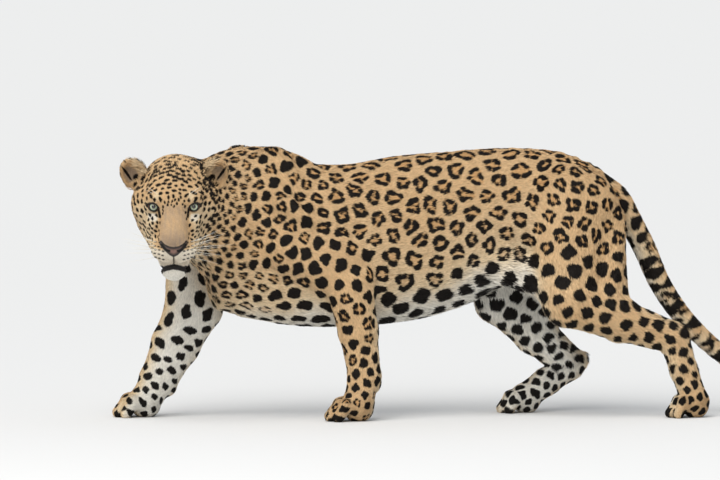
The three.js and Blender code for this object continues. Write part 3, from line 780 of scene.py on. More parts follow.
def kinship(points):
    """Each point's distance outside each part of the body, and the way the coat lies there."""
    gaps = np.full((len(points), len(PARTS)), 99.0)
    lie = np.zeros((len(points), 3))
    for rows, p, centre, radius in gathered(points, 72):
        for form in forms:
            if np.linalg.norm(form.middle - centre) > form.reach + radius + NEAR:
                continue
            k = PARTS.index(form.part)
            for piece in getattr(form, "pieces", [form]):
                e = np.minimum(piece.distance(p), 99.0)
                gaps[rows, k] = np.minimum(gaps[rows, k], e)
                if piece.lie is not None:
                    lie[rows] += np.exp(-np.clip(e, -30, 60) / 9)[:, None] * piece.lie
    return gaps, lie


def unit_rows(v):
    """Each row as a way of length one."""
    return v / np.maximum(np.linalg.norm(v, axis=1), 1e-9)[:, None]


EAR_HAND = 1 if np.cross(unit(EAR_UPWARD), unit(EAR_WIDTHWISE))[1] > 0 else -1


def ear_ways(side):
    """Outward across one ear, up it, and out of its open side, in the head's frame."""
    up = unit(mirrored(EAR_UPWARD, side))
    wide = unit(mirrored(EAR_WIDTHWISE, side))
    return wide, up, unit(np.cross(up, wide) * side * EAR_HAND)


def ear_place(q, side):
    """Where points are on one ear, along each of its ways."""
    d = q - mirrored(EAR_CENTRE, side)
    return tuple(d @ way for way in ear_ways(side))


def ear_facing(normals, side):
    """How far a surface faces out of the open side of one ear: 1 if straight, -1 if it is behind."""
    return (normals @ HEAD_AXES.T) @ ear_ways(side)[2]


def ear_share(q):
    """1 on the ears, 0 on the rest of the head."""
    share = np.zeros(len(q))
    for side in (1, -1):
        wide, up, _ = ear_ways(side)
        form = Muscle(mirrored(EAR_CENTRE, side), up, [46, 38, 22], wide)
        above_root = fade(ear_place(q, side)[1], -26, -14)
        share = np.maximum(share, (1 - fade(form.distance(q), 0, 3)) * above_root)
    return share


hide_normals = corner_normals(hide_spots, hide_quads)
part_gaps, lie_sum = kinship(hide_spots)
hide_q = to_head(hide_spots)
hide_ears = ear_share(hide_q)
head_lie = unit_rows(hide_q - NOSE_TIP) @ HEAD_AXES
head_pull = 3 * np.exp(-np.clip(part_gaps[:, PARTS.index("head")], -30, 60) / 9)
lie_sum = lie_sum + head_pull[:, None] * head_lie
for side in (1, -1):
    wide, up, _ = (way @ HEAD_AXES for way in ear_ways(side))
    a, _, c = ear_place(hide_q, side)
    on_this = hide_ears * (hide_q[:, 0] * side > 0)
    inner_rim = fade(-a, 2, 16) * fade(c, -4, 4)
    lie_sum += (200 * on_this)[:, None] * (up + (0.9 * inner_rim)[:, None] * wide)
lie_sum -= hide_normals * (lie_sum * hide_normals).sum(1)[:, None]
hide_lies = unit_rows(lie_sum + 1e-6)


def ripple(points, wavelength, seed, waves=7):
    """Smooth noise from about -1 to 1."""
    draw = np.random.default_rng(seed)
    ways = unit_rows(draw.normal(size=(waves, 3))) * (2 * math.pi / wavelength)
    ways *= draw.uniform(0.7, 1.4, (waves, 1))
    turns = draw.uniform(0, 2 * math.pi, waves)
    return np.sin(points @ ways.T + turns).sum(1) * (1.5 / waves)


def patch(q, centre, sizes, soft=0.35):
    """1 inside an oval patch of the head, fading to 0 over its rim."""
    d = np.linalg.norm((q - centre) / sizes, axis=1)
    return 1 - fade(d, 1 - soft, 1 + soft)


def off_ear_spot(q, a, b):
    """How far points are from the middle of the pale spot behind an ear, 1 being its edge."""
    return np.hypot((a - 2) / 13, (b - 6) / 15) + 0.3 * ripple(q, 14, 47)


TRUNK_X, TRUNK_TOP, TRUNK_BOTTOM = np.array(TRUNK, float).T[:3]
WHITE_OVER_EYE = ([37, 66, 50], [9, 16, 11])  # centres and half sizes of the head's white patches
WHITE_UNDER_EYE = ([44, 88, 12], [15, 22, 9])
DUN = 1.85  # the tone of the bridge of the nose, past buff, which is 1
BODY_HAIR = 11.5  # mm long
FACE_HAIR = 4.6
FOOT_HAIR = 5.5
EAR_HAIR = 5
LONG_EAR_HAIR = 12  # mm more along the inner rim


def trunk_share(x, z):
    """0 along the belly's line and 1 along the back's."""
    bottom = np.interp(x, TRUNK_X, TRUNK_BOTTOM)
    return (z - bottom) / (np.interp(x, TRUNK_X, TRUNK_TOP) - bottom)


def coat_fields(points, normals, gaps):
    """What the coat is like at each point: a table with the columns TONE to ON_EAR."""
    n = len(points)
    x, z = points[:, 0], points[:, 2]
    q = to_head(points)
    ax = np.abs(q[:, 0])
    fz = q @ FACE_UP
    weigh = np.exp(-np.clip(gaps, -20, 80) / 9)
    weigh /= weigh.sum(1)[:, None]
    share = {name: weigh[:, k] for k, name in enumerate(PARTS)}
    height = trunk_share(x, z)
    forward = fade(-x, 200, 330)
    raised = height + 0.14 * forward + 0.05 * ripple(points, 150, 3)
    tone = {}
    tone["trunk"] = 0.72 * fade(raised, 0.04, 0.32) + 0.28 * fade(raised, 0.3, 0.7)
    tone["neck"] = 0.2 + 0.8 * fade(normals[:, 2] + 0.06 * ripple(points, 90, 5), -1.0, -0.55)
    for name, leg in LEGS.items():
        fore = name.startswith("fore")
        outward = leg["side"] * normals[:, 1] + normals[:, 0] * (-0.55 if fore else 0.3)
        limb_tone = fade(outward + 0.08 * ripple(points, 60, 9), -0.38, 0.3)
        tone[name] = np.maximum(limb_tone, fade(z, 400, 480))
    line = np.array(TAIL_LINE, float)
    along = np.interp(x, line[:, 0], np.arange(len(line)))
    run = unit_rows(np.gradient(line, axis=0))
    tail_way = np.stack([np.interp(along, np.arange(len(line)), run[:, k]) for k in range(3)], 1)
    dorsal = normals[:, 2] * tail_way[:, 0] - normals[:, 0] * tail_way[:, 2]
    tone["tail"] = fade(dorsal, -0.6, 0.0)
    sided = np.stack([ax, q[:, 1], q[:, 2]], 1)
    white = np.maximum(0.8 * patch(sided, *WHITE_UNDER_EYE), 0.5 * patch(sided, *WHITE_OVER_EYE))
    beside_nose = fade(ax + 12 * fade(-fz, 116, 124), 0, 10)
    muzzle = fade(q[:, 1], 84, 108) * beside_nose * (1 - fade(fz, -112, -98))
    white = np.maximum(white, 0.8 * muzzle)
    chin = 1 - fade(fz + 0.25 * np.maximum(0, 120 - q[:, 1]), -150, -138)
    white = np.maximum(white, chin * (0.45 + 0.55 * fade(q[:, 1], 30, 80)))
    cheek = 0.42 * fade(ax, 34, 50) * (1 - fade(fz, -24, 6)) * fade(q[:, 1], 0, 60)
    white = np.maximum(white, cheek)
    bridge = fade(q[:, 1], 66, 84) * (1 - fade(ax, 24, 39))
    bridge = bridge * (1 - fade(fz, -20, 4)) * fade(fz, -112, -104)
    bridge_tone = DUN - 0.3 * fade(fz, -100, -60) + 0.2 * ripple(q * [1, 0.3, 0.3], 9, 12)
    tone["head"] = (1 - white) * (1 - bridge) + bridge * bridge_tone
    for side in (1, -1):
        a, b, _ = ear_place(q, side)
        on_ear = ear_share(q) * (q[:, 0] * side > 0)
        inside = fade(ear_facing(normals, side), -0.1, 0.25)
        cup = inside * (1 - fade(np.hypot((a - 2) / 24, (b + 4) / 34), 0.6, 1.0))
        spot = 0.6 * (1 - fade(off_ear_spot(q, a, b), 0.7, 1.3)) * (1 - inside)
        ear_tone = 1.1 + 0.75 * cup - spot
        ear_tone = ear_tone - 0.55 * inside * fade(-a, 8, 20)
        tone["head"] = tone["head"] * (1 - on_ear) + ear_tone * on_ear
    tone_all = sum(tone[name] * share[name] for name in PARTS)

    down_leg = 1 - fade(z, 60, 330)
    on_leg = sum(share[name] for name in LEGS)
    shoulder = fade(-x, 190, 300)
    closer_forward = 9 * fade(-x, 140, 240) + 10 * fade(-x, 260, 350)
    spacing = {  # mm from one marking to the next
        "trunk": 50 - 3 * fade(raised, 0.1, 0.3) - closer_forward + 3 * fade(height, 0.9, 0.98),
        "neck": 17 + 5 * fade(z, 490, 560) + 7 * (1 - fade(z, 290, 350)) + 12 * fade(x, -410, -320),
        "fore_left": 38 - 4 * fade(z, 420, 520) - 4 * fade(-x, 240, 320) - 14 * (1 - fade(z, 60, 260)),
        "fore_right": 39 - 8 * fade(z, 380, 480) - 12 * (1 - fade(z, 60, 260)),
        "hind_left": 42 - 18 * down_leg,
        "hind_right": 41 - 15 * down_leg,
        "tail": 37 - 4 * fade(x, 700, 1000),
        "head": np.full(n, 11.0),
    }
    spacing_all = sum(spacing[name] * share[name] for name in PARTS)
    ring = {  # the share of the markings that are rosettes
        "trunk": fade(raised, 0.12, 0.26) * (1 - 0.35 * shoulder),
        "neck": 0.12 + 0.5 * fade(z, 490, 560) + 0.2 * fade(x, -410, -320),
        "fore_left": 0.3 + 0.35 * fade(z, 380, 480),
        "fore_right": 0.4 * fade(z, 380, 480),
        "hind_left": fade(z, 330, 420),
        "hind_right": fade(z, 360, 450),
        "tail": 0.4 * (1 - fade(x, 640, 760)),
        "head": np.zeros(n),
    }
    ring_all = sum(ring[name] * share[name] for name in PARTS)

    face = share["head"] * fade(q[:, 1], -30, 70)
    ears = ear_share(q)
    foot = on_leg * (1 - fade(z, 50, 120)) * (1 - share["tail"])
    belly = (share["trunk"] + 0.4 * on_leg) * (1 - fade(raised, 0.05, 0.35)) * fade(x, -150, 60)
    groin = belly * fade(x, 60, 200)
    length = BODY_HAIR + 6 * belly + 6 * groin + 3 * share["tail"] - 2.0 * on_leg
    throat = (share["neck"] + share["head"]) * (1 - fade(normals[:, 2], -0.7, -0.1)) * (1 - face)
    length += 5 * throat
    length = length * (1 - face) + face * (FACE_HAIR - 2.0 * fade(q[:, 1], 50, 130))
    length += 1.6 * face * chin
    length = length * (1 - foot) + foot * FOOT_HAIR
    long_hairs = np.zeros(n)
    for side in (1, -1):
        a, _, c = ear_place(q, side)
        long_hairs += (q[:, 0] * side > 0) * fade(-a, 4, 14) * fade(c, -4, 4)
    length = length * (1 - ears) + ears * (EAR_HAIR + LONG_EAR_HAIR * long_hairs)
    width = 0.55 + 0.075 * length
    lift = 9 + 3 * belly + 2 * groin + 5 * throat + 2 * share["head"]  # degrees off the hide
    lift = lift + 4 * ears + 10 * ears * long_hairs
    columns = [tone_all, spacing_all, ring_all, length, width, lift, share["head"], ears]
    return np.stack(columns, 1)


TONE, SPACING, RING, LENGTH, WIDTH, LIFT, ON_HEAD, ON_EAR = range(8)
hide_fields = coat_fields(hide_spots, hide_normals, part_gaps)


def evened(values, rounds):
    """Values at the hide's vertices, each averaged with its neighbours' again and again."""
    a = hide_quads.ravel()
    b = np.roll(hide_quads, -1, axis=1).ravel()
    near = np.maximum(np.bincount(a, minlength=len(values)) + np.bincount(b, minlength=len(values)), 1)
    for _ in range(rounds):
        total = np.bincount(a, values[b], len(values)) + np.bincount(b, values[a], len(values))
        values = 0.4 * values + 0.6 * total / near
    return values


off_head = np.clip(1 - 2 * hide_fields[:, ON_HEAD], 0, 1)
soft_tone = evened(hide_fields[:, TONE], 34)
hide_fields[:, TONE] += (soft_tone - hide_fields[:, TONE]) * off_head


# Which faces of the hide show, as each finer room's mesh dives under its neighbour past the room.
quad_middles = hide_spots[hide_quads].mean(1)
room_of_quad = np.repeat(np.arange(len(hide_parts)), [len(quads) for spots, quads in hide_parts])
quad_gaps = np.array(room_gaps(quad_middles))
shows = np.where(
    room_of_quad == 0,
    quad_gaps.min(0) > 0,
    quad_gaps[np.maximum(room_of_quad - 1, 0), np.arange(len(quad_middles))] <= 0,
)
shows &= quad_middles[:, 2] > SOLE_LEVEL + 0.8
quad_areas = 0.5 * np.linalg.norm(
    np.cross(
        hide_spots[hide_quads[:, 2]] - hide_spots[hide_quads[:, 0]],
        hide_spots[hide_quads[:, 3]] - hide_spots[hide_quads[:, 1]],
    ),
    axis=1,
)


def rooted(density, seed):
    """Places drawn over the hide, as many to the square millimetre as each of its quads is given."""
    draw = np.random.default_rng(seed)
    wanted = density * quad_areas * shows
    count = np.floor(wanted + draw.random(len(wanted))).astype(int)
    quad = np.repeat(np.arange(len(count)), count)
    s, t = draw.random((2, len(quad)))
    shares = np.stack([(1 - s) * (1 - t), s * (1 - t), s * t, (1 - s) * t], 1)
    corners = hide_quads[quad]

    def mixed(table):
        return np.einsum("nk,nkc->nc", shares, table[corners])

    ways = [unit_rows(mixed(table)) for table in (hide_normals, hide_lies)]
    return mixed(hide_spots), *ways, mixed(hide_fields)


def scattered(spots, spacing, seed):
    """Rows of some of the spots, none nearer to another than the spacing there."""
    draw = np.random.default_rng(seed)
    alive = np.ones(len(spots), bool)
    light = spots.astype(np.float32)
    picked = []
    for i in draw.permutation(len(spots)):
        if not alive[i]:
            continue
        picked.append(i)
        d = light - light[i]
        alive &= (d * d).sum(1) > spacing[i] ** 2
    return np.array(picked)


# The coat's markings: dark spots, and rosettes that are broken rings round a tawny middle. On the
# real animal they are coloured hair. Each is drawn on the hide and on the coat over it alike.
class Neighbours:
    """Finds the points near a place."""

    def __init__(self, points, cell=24.0):
        self.cell = cell
        place = np.floor(points / cell).astype(np.int64) + 512
        key = (place[:, 0] * 1024 + place[:, 1]) * 1024 + place[:, 2]
        order = np.argsort(key, kind="stable")
        keys = key[order]
        turns = np.flatnonzero(np.diff(keys)) + 1
        self.rows = dict(zip(keys[np.r_[0, turns]].tolist(), np.split(order, turns)))

    def near(self, spot, reach):
        """Rows of the points in the cells within reach of a spot."""
        low = np.floor((spot - reach) / self.cell).astype(int) + 512
        high = np.floor((spot + reach) / self.cell).astype(int) + 513
        found = [
            self.rows[key]
            for i in range(low[0], high[0])
            for j in range(low[1], high[1])
            for k in range(low[2], high[2])
            if (key := (i * 1024 + j) * 1024 + k) in self.rows
        ]
        return np.concatenate(found) if found else np.zeros(0, int)


class Marking:
    """One dark spot, or a rosette: a broken ring of dark arcs round a tawny middle. It keeps clear of
    the markings round it, so that together they fill the coat."""

    def __init__(self, spot, normal, lie, size, draw, ring, stretch, walls=()):
        self.spot = spot
        self.normal = normal
        turn = draw.normal(0, 0.2)
        across = np.cross(normal, lie)
        self.u = lie * math.cos(turn) + across * math.sin(turn)
        self.v = np.cross(normal, self.u)
        self.size = size
        self.stretch = stretch
        self.walls = [(math.atan2(w @ self.v, w @ self.u), reach) for w, reach in walls]
        self.lobes = draw.uniform(0, 2 * math.pi, 3)
        self.uneven = draw.uniform(0.03, 0.1, 3)
        self.ring = ring
        self.reach = size * max(stretch, 1) * 1.3 + 5
        self.arcs = []
        if ring:
            count = int(draw.choice([2, 3, 3, 4, 4, 5]))
            gap = draw.uniform(0.12, 0.26) + 2.0 / size
            at = draw.uniform(0, 2 * math.pi)
            pieces = draw.dirichlet(np.full(count, 6.0)) * (2 * math.pi - count * gap)
            for piece in pieces:
                thick = draw.uniform(10.0, 13.5) * min(1.1, size / 20)
                bare = min(piece / 2, thick / 2 / (size * 0.8))
                self.arcs.append((at + piece / 2, max(piece / 2 - bare, 0), thick))
                at += piece + gap

    def values(self, d):
        """How far places round the spot are inside its dark, in mm, and inside its tawny middle."""
        u, v = d @ self.u, d @ self.v
        r, turn = np.hypot(u, v), np.arctan2(v, u)
        inverse = (np.cos(turn) / (self.size * self.stretch)) ** 2 + (np.sin(turn) / self.size) ** 2
        tight = inverse**2.5
        for angle, reach in self.walls:
            tight += (np.maximum(np.cos(turn - angle), 0) / reach) ** 5
        edge = tight**-0.2
        for n in range(3):
            edge = edge * (1 + self.uneven[n] * np.sin((n + 2) * turn + self.lobes[n]))
        if not self.ring:
            return edge - r, np.zeros(len(r))
        dark = np.full(len(r), -20.0)
        for middle, half, thick in self.arcs:
            off = np.abs((turn - middle + math.pi) % (2 * math.pi) - math.pi)
            out = np.hypot(r - (edge - thick / 2), edge * 0.8 * np.maximum(off - half, 0))
            dark = np.maximum(dark, thick / 2 - out)
        return dark, fade(edge - 3 - r, -2, 3)


def painted(points, normals, markings):
    """How far each point is inside the dark of the markings, in mm, and inside a tawny middle."""
    dark = np.full(len(points), -20.0)
    tint = np.zeros(len(points))
    finder = Neighbours(points)
    for marking in markings:
        rows = finder.near(marking.spot, marking.reach)
        d = points[rows] - marking.spot
        near = np.abs(d @ marking.normal) < 0.7 * marking.reach + 3
        near &= normals[rows] @ marking.normal > 0.15
        near &= (d * d).sum(1) < marking.reach**2
        rows, d = rows[near], d[near]
        if len(rows):
            mark, middle = marking.values(d)
            dark[rows] = np.maximum(dark[rows], mark)
            tint[rows] = np.maximum(tint[rows], middle)
    return dark, tint


def eased(picked, spots, normals, spacing, rounds=14):
    """Picked rows moved apart until they lie evenly over the hide."""
    finder = Neighbours(spots, 12.0)
    picked = picked.copy()
    for _ in range(rounds):
        p, n, s = spots[picked], normals[picked], spacing[picked]
        d = p[:, None] - p[None]
        gap = np.linalg.norm(d, axis=2) + 1e-6
        push = np.maximum(0, 1 - gap / (0.62 * (s[:, None] + s[None]))) * (n @ n.T > 0.2)
        np.fill_diagonal(push, 0)
        moved = p + ((push / gap)[:, :, None] * d).sum(1) * (0.32 * s[:, None])
        for k, spot in enumerate(moved):
            rows = finder.near(spot, 10.0)
            if len(rows):
                off = ((spots[rows] - spot) ** 2).sum(1) + 400 * (normals[rows] @ n[k] < 0.2)
                picked[k] = rows[off.argmin()]
    return np.unique(picked)


def walls_round(k, p, n, s, clear):
    """The markings that close one in: which way each lies, and how far this one may reach that way."""
    d = p - p[k]
    gap = np.linalg.norm(d, axis=1)
    near = np.flatnonzero((gap > 1) & (gap < 2.0 * s[k]) & (n @ n[k] > 0.1))
    return [(d[j] / gap[j], max(gap[j] * s[k] / (s[k] + s[j]) - clear, 3.0)) for j in near]


LEAST_RING = 19  # mm between markings, below which none is a rosette
SMALL_MARKS = 31
draw = np.random.default_rng(21)
markings = []
body_density = 0.05 * (hide_fields[hide_quads, ON_HEAD].mean(1) < 0.6)
spots, normals, lies, fields = rooted(body_density, 31)
spacing = fields[:, SPACING] * (1 + 0.1 * ripple(spots, 120, 35))
picked = eased(scattered(spots, spacing * 0.8, 32), spots, normals, spacing)
gaps_wanted = spacing[picked] * draw.uniform(0.88, 1.12, len(picked))
for k, i in enumerate(picked):
    x, y, z = spots[i]
    lie = lies[i]
    across = np.cross(normals[i], lie)
    ring = draw.random() < fields[i, RING] and spacing[i] > LEAST_RING
    clear = 1.2 + 0.05 * spacing[i] if ring else 1.4 + 0.04 * spacing[i]
    walls = walls_round(k, spots[picked], normals[picked], gaps_wanted, clear)
    size = gaps_wanted[k] * (draw.uniform(0.46, 0.53) if ring else draw.uniform(0.37, 0.45))
    stretch = draw.uniform(1.05, 1.6) if spacing[i] < SMALL_MARKS else draw.uniform(0.85, 1.25)
    along_spine = np.interp(x, TRUNK_X, TRUNK_TOP) - z < 22
    neck_side = x < -200 and z > 330
    breast = fields[i, TONE] < 0.4 and x < -60 and z > 220
    tail_bars = x > 470 and z > 60 and abs(y) < 60
    far_leg = z < 330 and y > 0
    if ring and along_spine:
        stretch = draw.uniform(1.3, 1.6)
    elif neck_side:
        lie = across
        stretch = draw.uniform(1.2, 1.9)
    elif breast:
        size *= 0.72
        stretch = draw.uniform(1.5, 2.4)
    elif tail_bars:
        lie = across
        size *= 0.98
        stretch = draw.uniform(1.1, 1.5)
    elif far_leg:
        lie = across
        size *= 0.68 if x < 0 else 0.95
        stretch = draw.uniform(1.3, 2.0)
    markings.append(Marking(spots[i], normals[i], lie, size, draw, ring, stretch, walls))

head_density = 0.5 * hide_fields[hide_quads, ON_HEAD].mean(1)
spots, normals, lies, fields = rooted(np.where(head_density > 0.15, head_density, 0), 33)
q = to_head(spots)
fz = q @ FACE_UP
ax = np.abs(q[:, 0])
brow = fade(q[:, 1], 30, 60) * (1 - fade(ax, 20, 34))
low_cheek = fade(ax, 50, 75) * (1 - fade(fz, -30, 10))
pitch_of = 12.9 - 3.2 * brow + 1.6 * low_cheek + 4 * (1 - fade(q[:, 1], -60, -20))
pitch_of = pitch_of - 3.0 * fade(q[:, 1], 70, 100)
bridge = (ax < 22 + 9 * fade(-fz, 16, 60)) & (q[:, 1] > 62) & (fz < -14)
muzzle = (q[:, 1] > 96) & (fz < -88) & (fz > -150)
chin = (q[:, 1] > 60) & (fz < -128)
off_eye = np.stack([ax, q[:, 1], q[:, 2]], 1) - [45, 84, 34]
near_eye = np.linalg.norm(off_eye / [22, 30, 17], axis=1) < 1
keep = ~(bridge | muzzle | near_eye | chin) & (fields[:, ON_EAR] < 0.3)
spots, normals, lies, pitch_of, fz = (a[keep] for a in (spots, normals, lies, pitch_of, fz))
for i in scattered(spots, pitch_of * draw.uniform(0.85, 1.1, len(spots)), 34):
    on_brow = fz[i] > 14
    size = pitch_of[i] * draw.uniform(0.28, 0.36) * (1.06 if on_brow else 0.95)
    way = np.cross(normals[i], lies[i]) if on_brow else lies[i]
    markings.append(Marking(spots[i], normals[i], way, size, draw, False, draw.uniform(1.25, 1.9)))


def stroke(points, line, radius):
    """How far points are inside a stroke along a line, in mm."""
    return radius - off_line(points, line)


whisker_spots = []
spot_draw = np.random.default_rng(43)
for row in range(5):
    for k in range(5 if row < 4 else 3):
        across = 22 + 2.0 * (row % 2) + 8.2 * k + spot_draw.uniform(-0.9, 0.9)
        down = -97.5 - 8.4 * row + 0.3 * (8.2 * k) + spot_draw.uniform(-0.9, 0.9)
        whisker_spots.append((across, down))


# Half the nose leather's outline in the face plane, from the top middle round to the tip.
LEATHER = [
    [0, -106],
    [11, -104],
    [21, -99],
    [28, -91],
    [30.5, -94],
    [26, -104],
    [18, -112],
    [8, -121],
    [0, -125],
]


def in_leather(sided):
    """Whether places in one half of the face plane are inside the nose leather's outline."""
    inside = np.zeros(len(sided), bool)
    x, y = sided[:, 0], sided[:, 1]
    corners = LEATHER + [[-9, -125], [-9, -105]]
    for (xa, ya), (xb, yb) in zip(corners, corners[1:] + corners[:1]):
        crosses = (ya > y) != (yb > y)
        at = xa + (y - ya) / (yb - ya if yb != ya else 1) * (xb - xa)
        inside ^= crosses & (x < at)
    return inside


def face_marks(points, normals, dark, fields):
    """The scattered spots with the black of lips, lids, tear lines, whisker rows and ears over them, and
    painted shade in the open mouth and low in each ear's hollow.
    """
    q_all = to_head(points)
    rows = np.flatnonzero(box_gap(q_all, [-100, 20, -150], [100, 200, 150]) < 0)
    q = q_all[rows]
    sided = half_face(q)
    mark = dark[rows]
    front = q[:, 1] > 60
    snout = q[:, 1] > 112

    def add(value, where):
        mark[where] = np.maximum(mark[where], value[where])

    for side in (1, -1):
        outside, over, y = lid_edges(q, side)
        x = lid_place(q, side)[0]
        near = (np.abs(y) < 40) & (np.abs(x) < 30) & (np.abs(over) < 40)
        rim = np.where(over > -4, 3.6 + 0.06 * x, 2.3)
        add(rim - outside, near)
    add(stroke(sided, [[33, -21], [31.5, -28], [31, -37]], 2.6), front)
    add(stroke(sided, [[57, -10], [65, -5]], 1.8), front)
    for across, down in whisker_spots:
        dash = stroke(sided, [[across, down], [across + 2.6, down + 0.5]], 1.5)
        add(dash, snout & (sided[:, 0] > 15))
    # Black lips, which is their own colour, drawn as a broad band that also holds painted shade: the dark
    # of the slightly open mouth along the groove, and the lips' shadow under it.
    add(stroke(sided, [[0, -148], [12, -150.5], [24, -154]], 6.0), snout)
    add(stroke(sided, [[27, -153], [31, -160]], 7.0), front)
    add(stroke(sided, [[33, -154], [40, -142], [45, -136]], 5.4), front)
    add(stroke(sided, [[0, -124], [0, -144]], 1.5), snout)
    add(stroke(sided, LEATHER, 1.6), snout & (sided[:, 0] < 34))
    add(np.where(in_leather(sided), 3.0, -9.0), snout)
    dark[rows] = mark
    for side in (1, -1):
        a, b, _ = ear_place(q_all, side)
        on_ear = (fields[:, ON_EAR] > 0.4) & (q_all[:, 0] * side > 0)
        streaks = 4.5 * ripple(np.stack([a, 0.22 * b, 0 * a], 1), 12, 45) - 3.2 - 4 * fade(-a, 6, 16)
        # Painted shade: a dark patch low in the middle of the ear's hollow, where it is deepest.
        painted_shade_pocket = 5.5 - 8 * np.hypot((a + 1) / 12, (b + 14) / 13)
        edge = 1.0 - 16 * np.abs(np.hypot(a / 34, b / 42) - 1.0)
        edge = edge + 4 * ripple(q_all, 13, 46) - 3 * fade(-b, -4, 14)
        inner = np.maximum(np.maximum(streaks, painted_shade_pocket), edge)
        back = 4 - 12 * (1 - fade(off_ear_spot(q_all, a, b), 0.6, 1.4))
        back = back - 8 * fade(-b, 14, 26) + 2 * ripple(q_all, 9, 48)
        ear_mark = np.where(ear_facing(normals, side) > 0.08, inner, back)
        dark = np.where(on_ear, ear_mark, dark)
    return dark


def markings_at(points, normals, fields):
    """How far points are inside the dark of the coat's markings, and inside a tawny middle."""
    dark, tint = painted(points, normals, markings)
    dark = dark + 0.9 * ripple(points, 11, 41) * (1 - 0.7 * fields[:, ON_HEAD])
    return face_marks(points, normals, dark, fields), tint


class Nodes:
    """The nodes of one tree, each made by one call."""

    def __init__(self, tree):
        self.nodes = tree.nodes
        self.links = tree.links

    def put(self, socket, value):
        """Sets a socket to a value, or links one to it."""
        if isinstance(value, Sum):
            value = value.socket
        if isinstance(value, bpy.types.NodeSocket):
            self.links.new(value, socket)
        elif socket.type == "RGBA":
            socket.default_value = (*value, 1)
        else:
            socket.default_value = value

    def node(self, kind, settings=None, sockets=None):
        """A node of this kind: its settings first, then the values or links of its sockets."""
        made = self.nodes.new(kind)
        for name, value in (settings or {}).items():
            if name == "stops":
                self.put_stops(made.color_ramp.elements, value)
            else:
                setattr(made, name, value)
        for key, value in (sockets or {}).items():
            self.put(made.inputs[key], value)
        return made

    def put_stops(self, ends, stops):
        """A ramp's stops, of which the first two given are its ends."""
        for k, (place, colour) in enumerate(stops):
            stop = ends[k] if k < 2 else ends.new(place)
            stop.position = place
            stop.color = (*colour, 1)

    def math(self, operation, a, b):
        made = self.node("ShaderNodeMath", {"operation": operation}, {0: a, 1: b})
        return Sum(self, made.outputs[0])


class Sum:
    """A number in a tree of nodes, which sums are written with."""

    def __init__(self, tree, socket):
        self.tree = tree
        self.socket = socket

    def __add__(self, other):
        return self.tree.math("ADD", self, other)

    def __sub__(self, other):
        return self.tree.math("SUBTRACT", self, other)

    def __rsub__(self, other):
        return self.tree.math("SUBTRACT", other, self)

    def __mul__(self, other):
        return self.tree.math("MULTIPLY", self, other)

    __radd__ = __add__
    __rmul__ = __mul__

    def risen(self, start, end):
        """0 before start and 1 past end."""
        part = (self - start) * (1 / (end - start))
        return self.tree.math("MINIMUM", self.tree.math("MAXIMUM", part, 0), 1)


class Shader(Nodes):
    """A material and what is read, mixed and put on its surface."""

    def __init__(self, name):
        self.material = bpy.data.materials.new(name)
        self.material.use_nodes = True
        super().__init__(self.material.node_tree)

    def attribute(self, name):
        found = self.node("ShaderNodeAttribute", {"attribute_name": name})
        return Sum(self, found.outputs["Fac"])

    def place(self):
        return self.node("ShaderNodeTexCoord").outputs["Object"]

    def noise(self, scale, detail, place=None):
        sockets = {"Scale": scale, "Detail": detail, "Vector": place or self.place()}
        return Sum(self, self.node("ShaderNodeTexNoise", None, sockets).outputs["Fac"])

    def ramp(self, amount, stops):
        """A colour that follows an amount from 0 to 1 through the stops given."""
        return self.node("ShaderNodeValToRGB", {"stops": stops}, {"Fac": amount}).outputs["Color"]

    def mixed(self, amount, a, b, way="MIX"):
        settings = {"data_type": "RGBA", "blend_type": way}
        return self.node("ShaderNodeMix", settings, {0: amount, 6: a, 7: b}).outputs[2]

    def shaded(self, colour, amount):
        """A colour made darker or lighter by an amount."""
        grey = self.node("ShaderNodeCombineColor", None, {"Red": amount, "Green": amount, "Blue": amount})
        return self.mixed(1.0, colour, grey.outputs[0], "MULTIPLY")

    def bumped(self, height, strength, distance):
        """The surface's facing where it rises and falls with a height."""
        sockets = {"Strength": strength, "Distance": distance, "Height": height}
        return self.node("ShaderNodeBump", None, sockets).outputs["Normal"]

    def surfaced(self, sockets):
        """The material, with these values or links on its surface."""
        for name, value in sockets.items():
            self.put(self.nodes["Principled BSDF"].inputs[name], value)
        return self.material


def paint(red, green, blue):
    """A colour as the eye names it, 0 to 255, as light."""
    seen = (red, green, blue)
    return tuple(((c / 255 + 0.055) / 1.055) ** 2.4 if c > 10 else c / 3294.6 for c in seen)


WHITE_HAIR = paint(234, 230, 220)
CREAM_HAIR = paint(226, 204, 168)
BUFF_HAIR = paint(212, 178, 134)
DUN_HAIR = paint(173, 152, 132)
TAWNY_HAIR = paint(204, 157, 102)
BLACK_HAIR = paint(16, 11, 8)
HAIR_STOPS = [(0.0, WHITE_HAIR), (1.0, DUN_HAIR), (0.25, CREAM_HAIR), (0.5, BUFF_HAIR), (0.62, BUFF_HAIR)]


def coat_colour(shader, strand):
    """White to buff and on to dun by tone, tawny in the rosettes, and near black in the marks."""
    tone = shader.attribute("tone")
    broad = shader.noise(9.0, 2.0)
    base = shader.ramp((tone + (broad - 0.5) * 0.25) * 0.5, HAIR_STOPS)
    middle = shader.attribute("tint") * tone * 0.75
    base = shader.mixed(middle, base, TAWNY_HAIR)
    dark = (shader.attribute("mark") + (strand - 0.5) * 1.6).risen(-0.7, 0.7)
    return shader.mixed(dark * 0.995, base, BLACK_HAIR)


hide_dark, hide_tint = markings_at(hide_spots, hide_normals, hide_fields)


def put_attribute(mesh, name, values):
    """A number at each vertex, which the material reads."""
    made = mesh.attributes.new(name, "FLOAT", "POINT")
    made.data.foreach_set("value", np.asarray(values, np.float32))


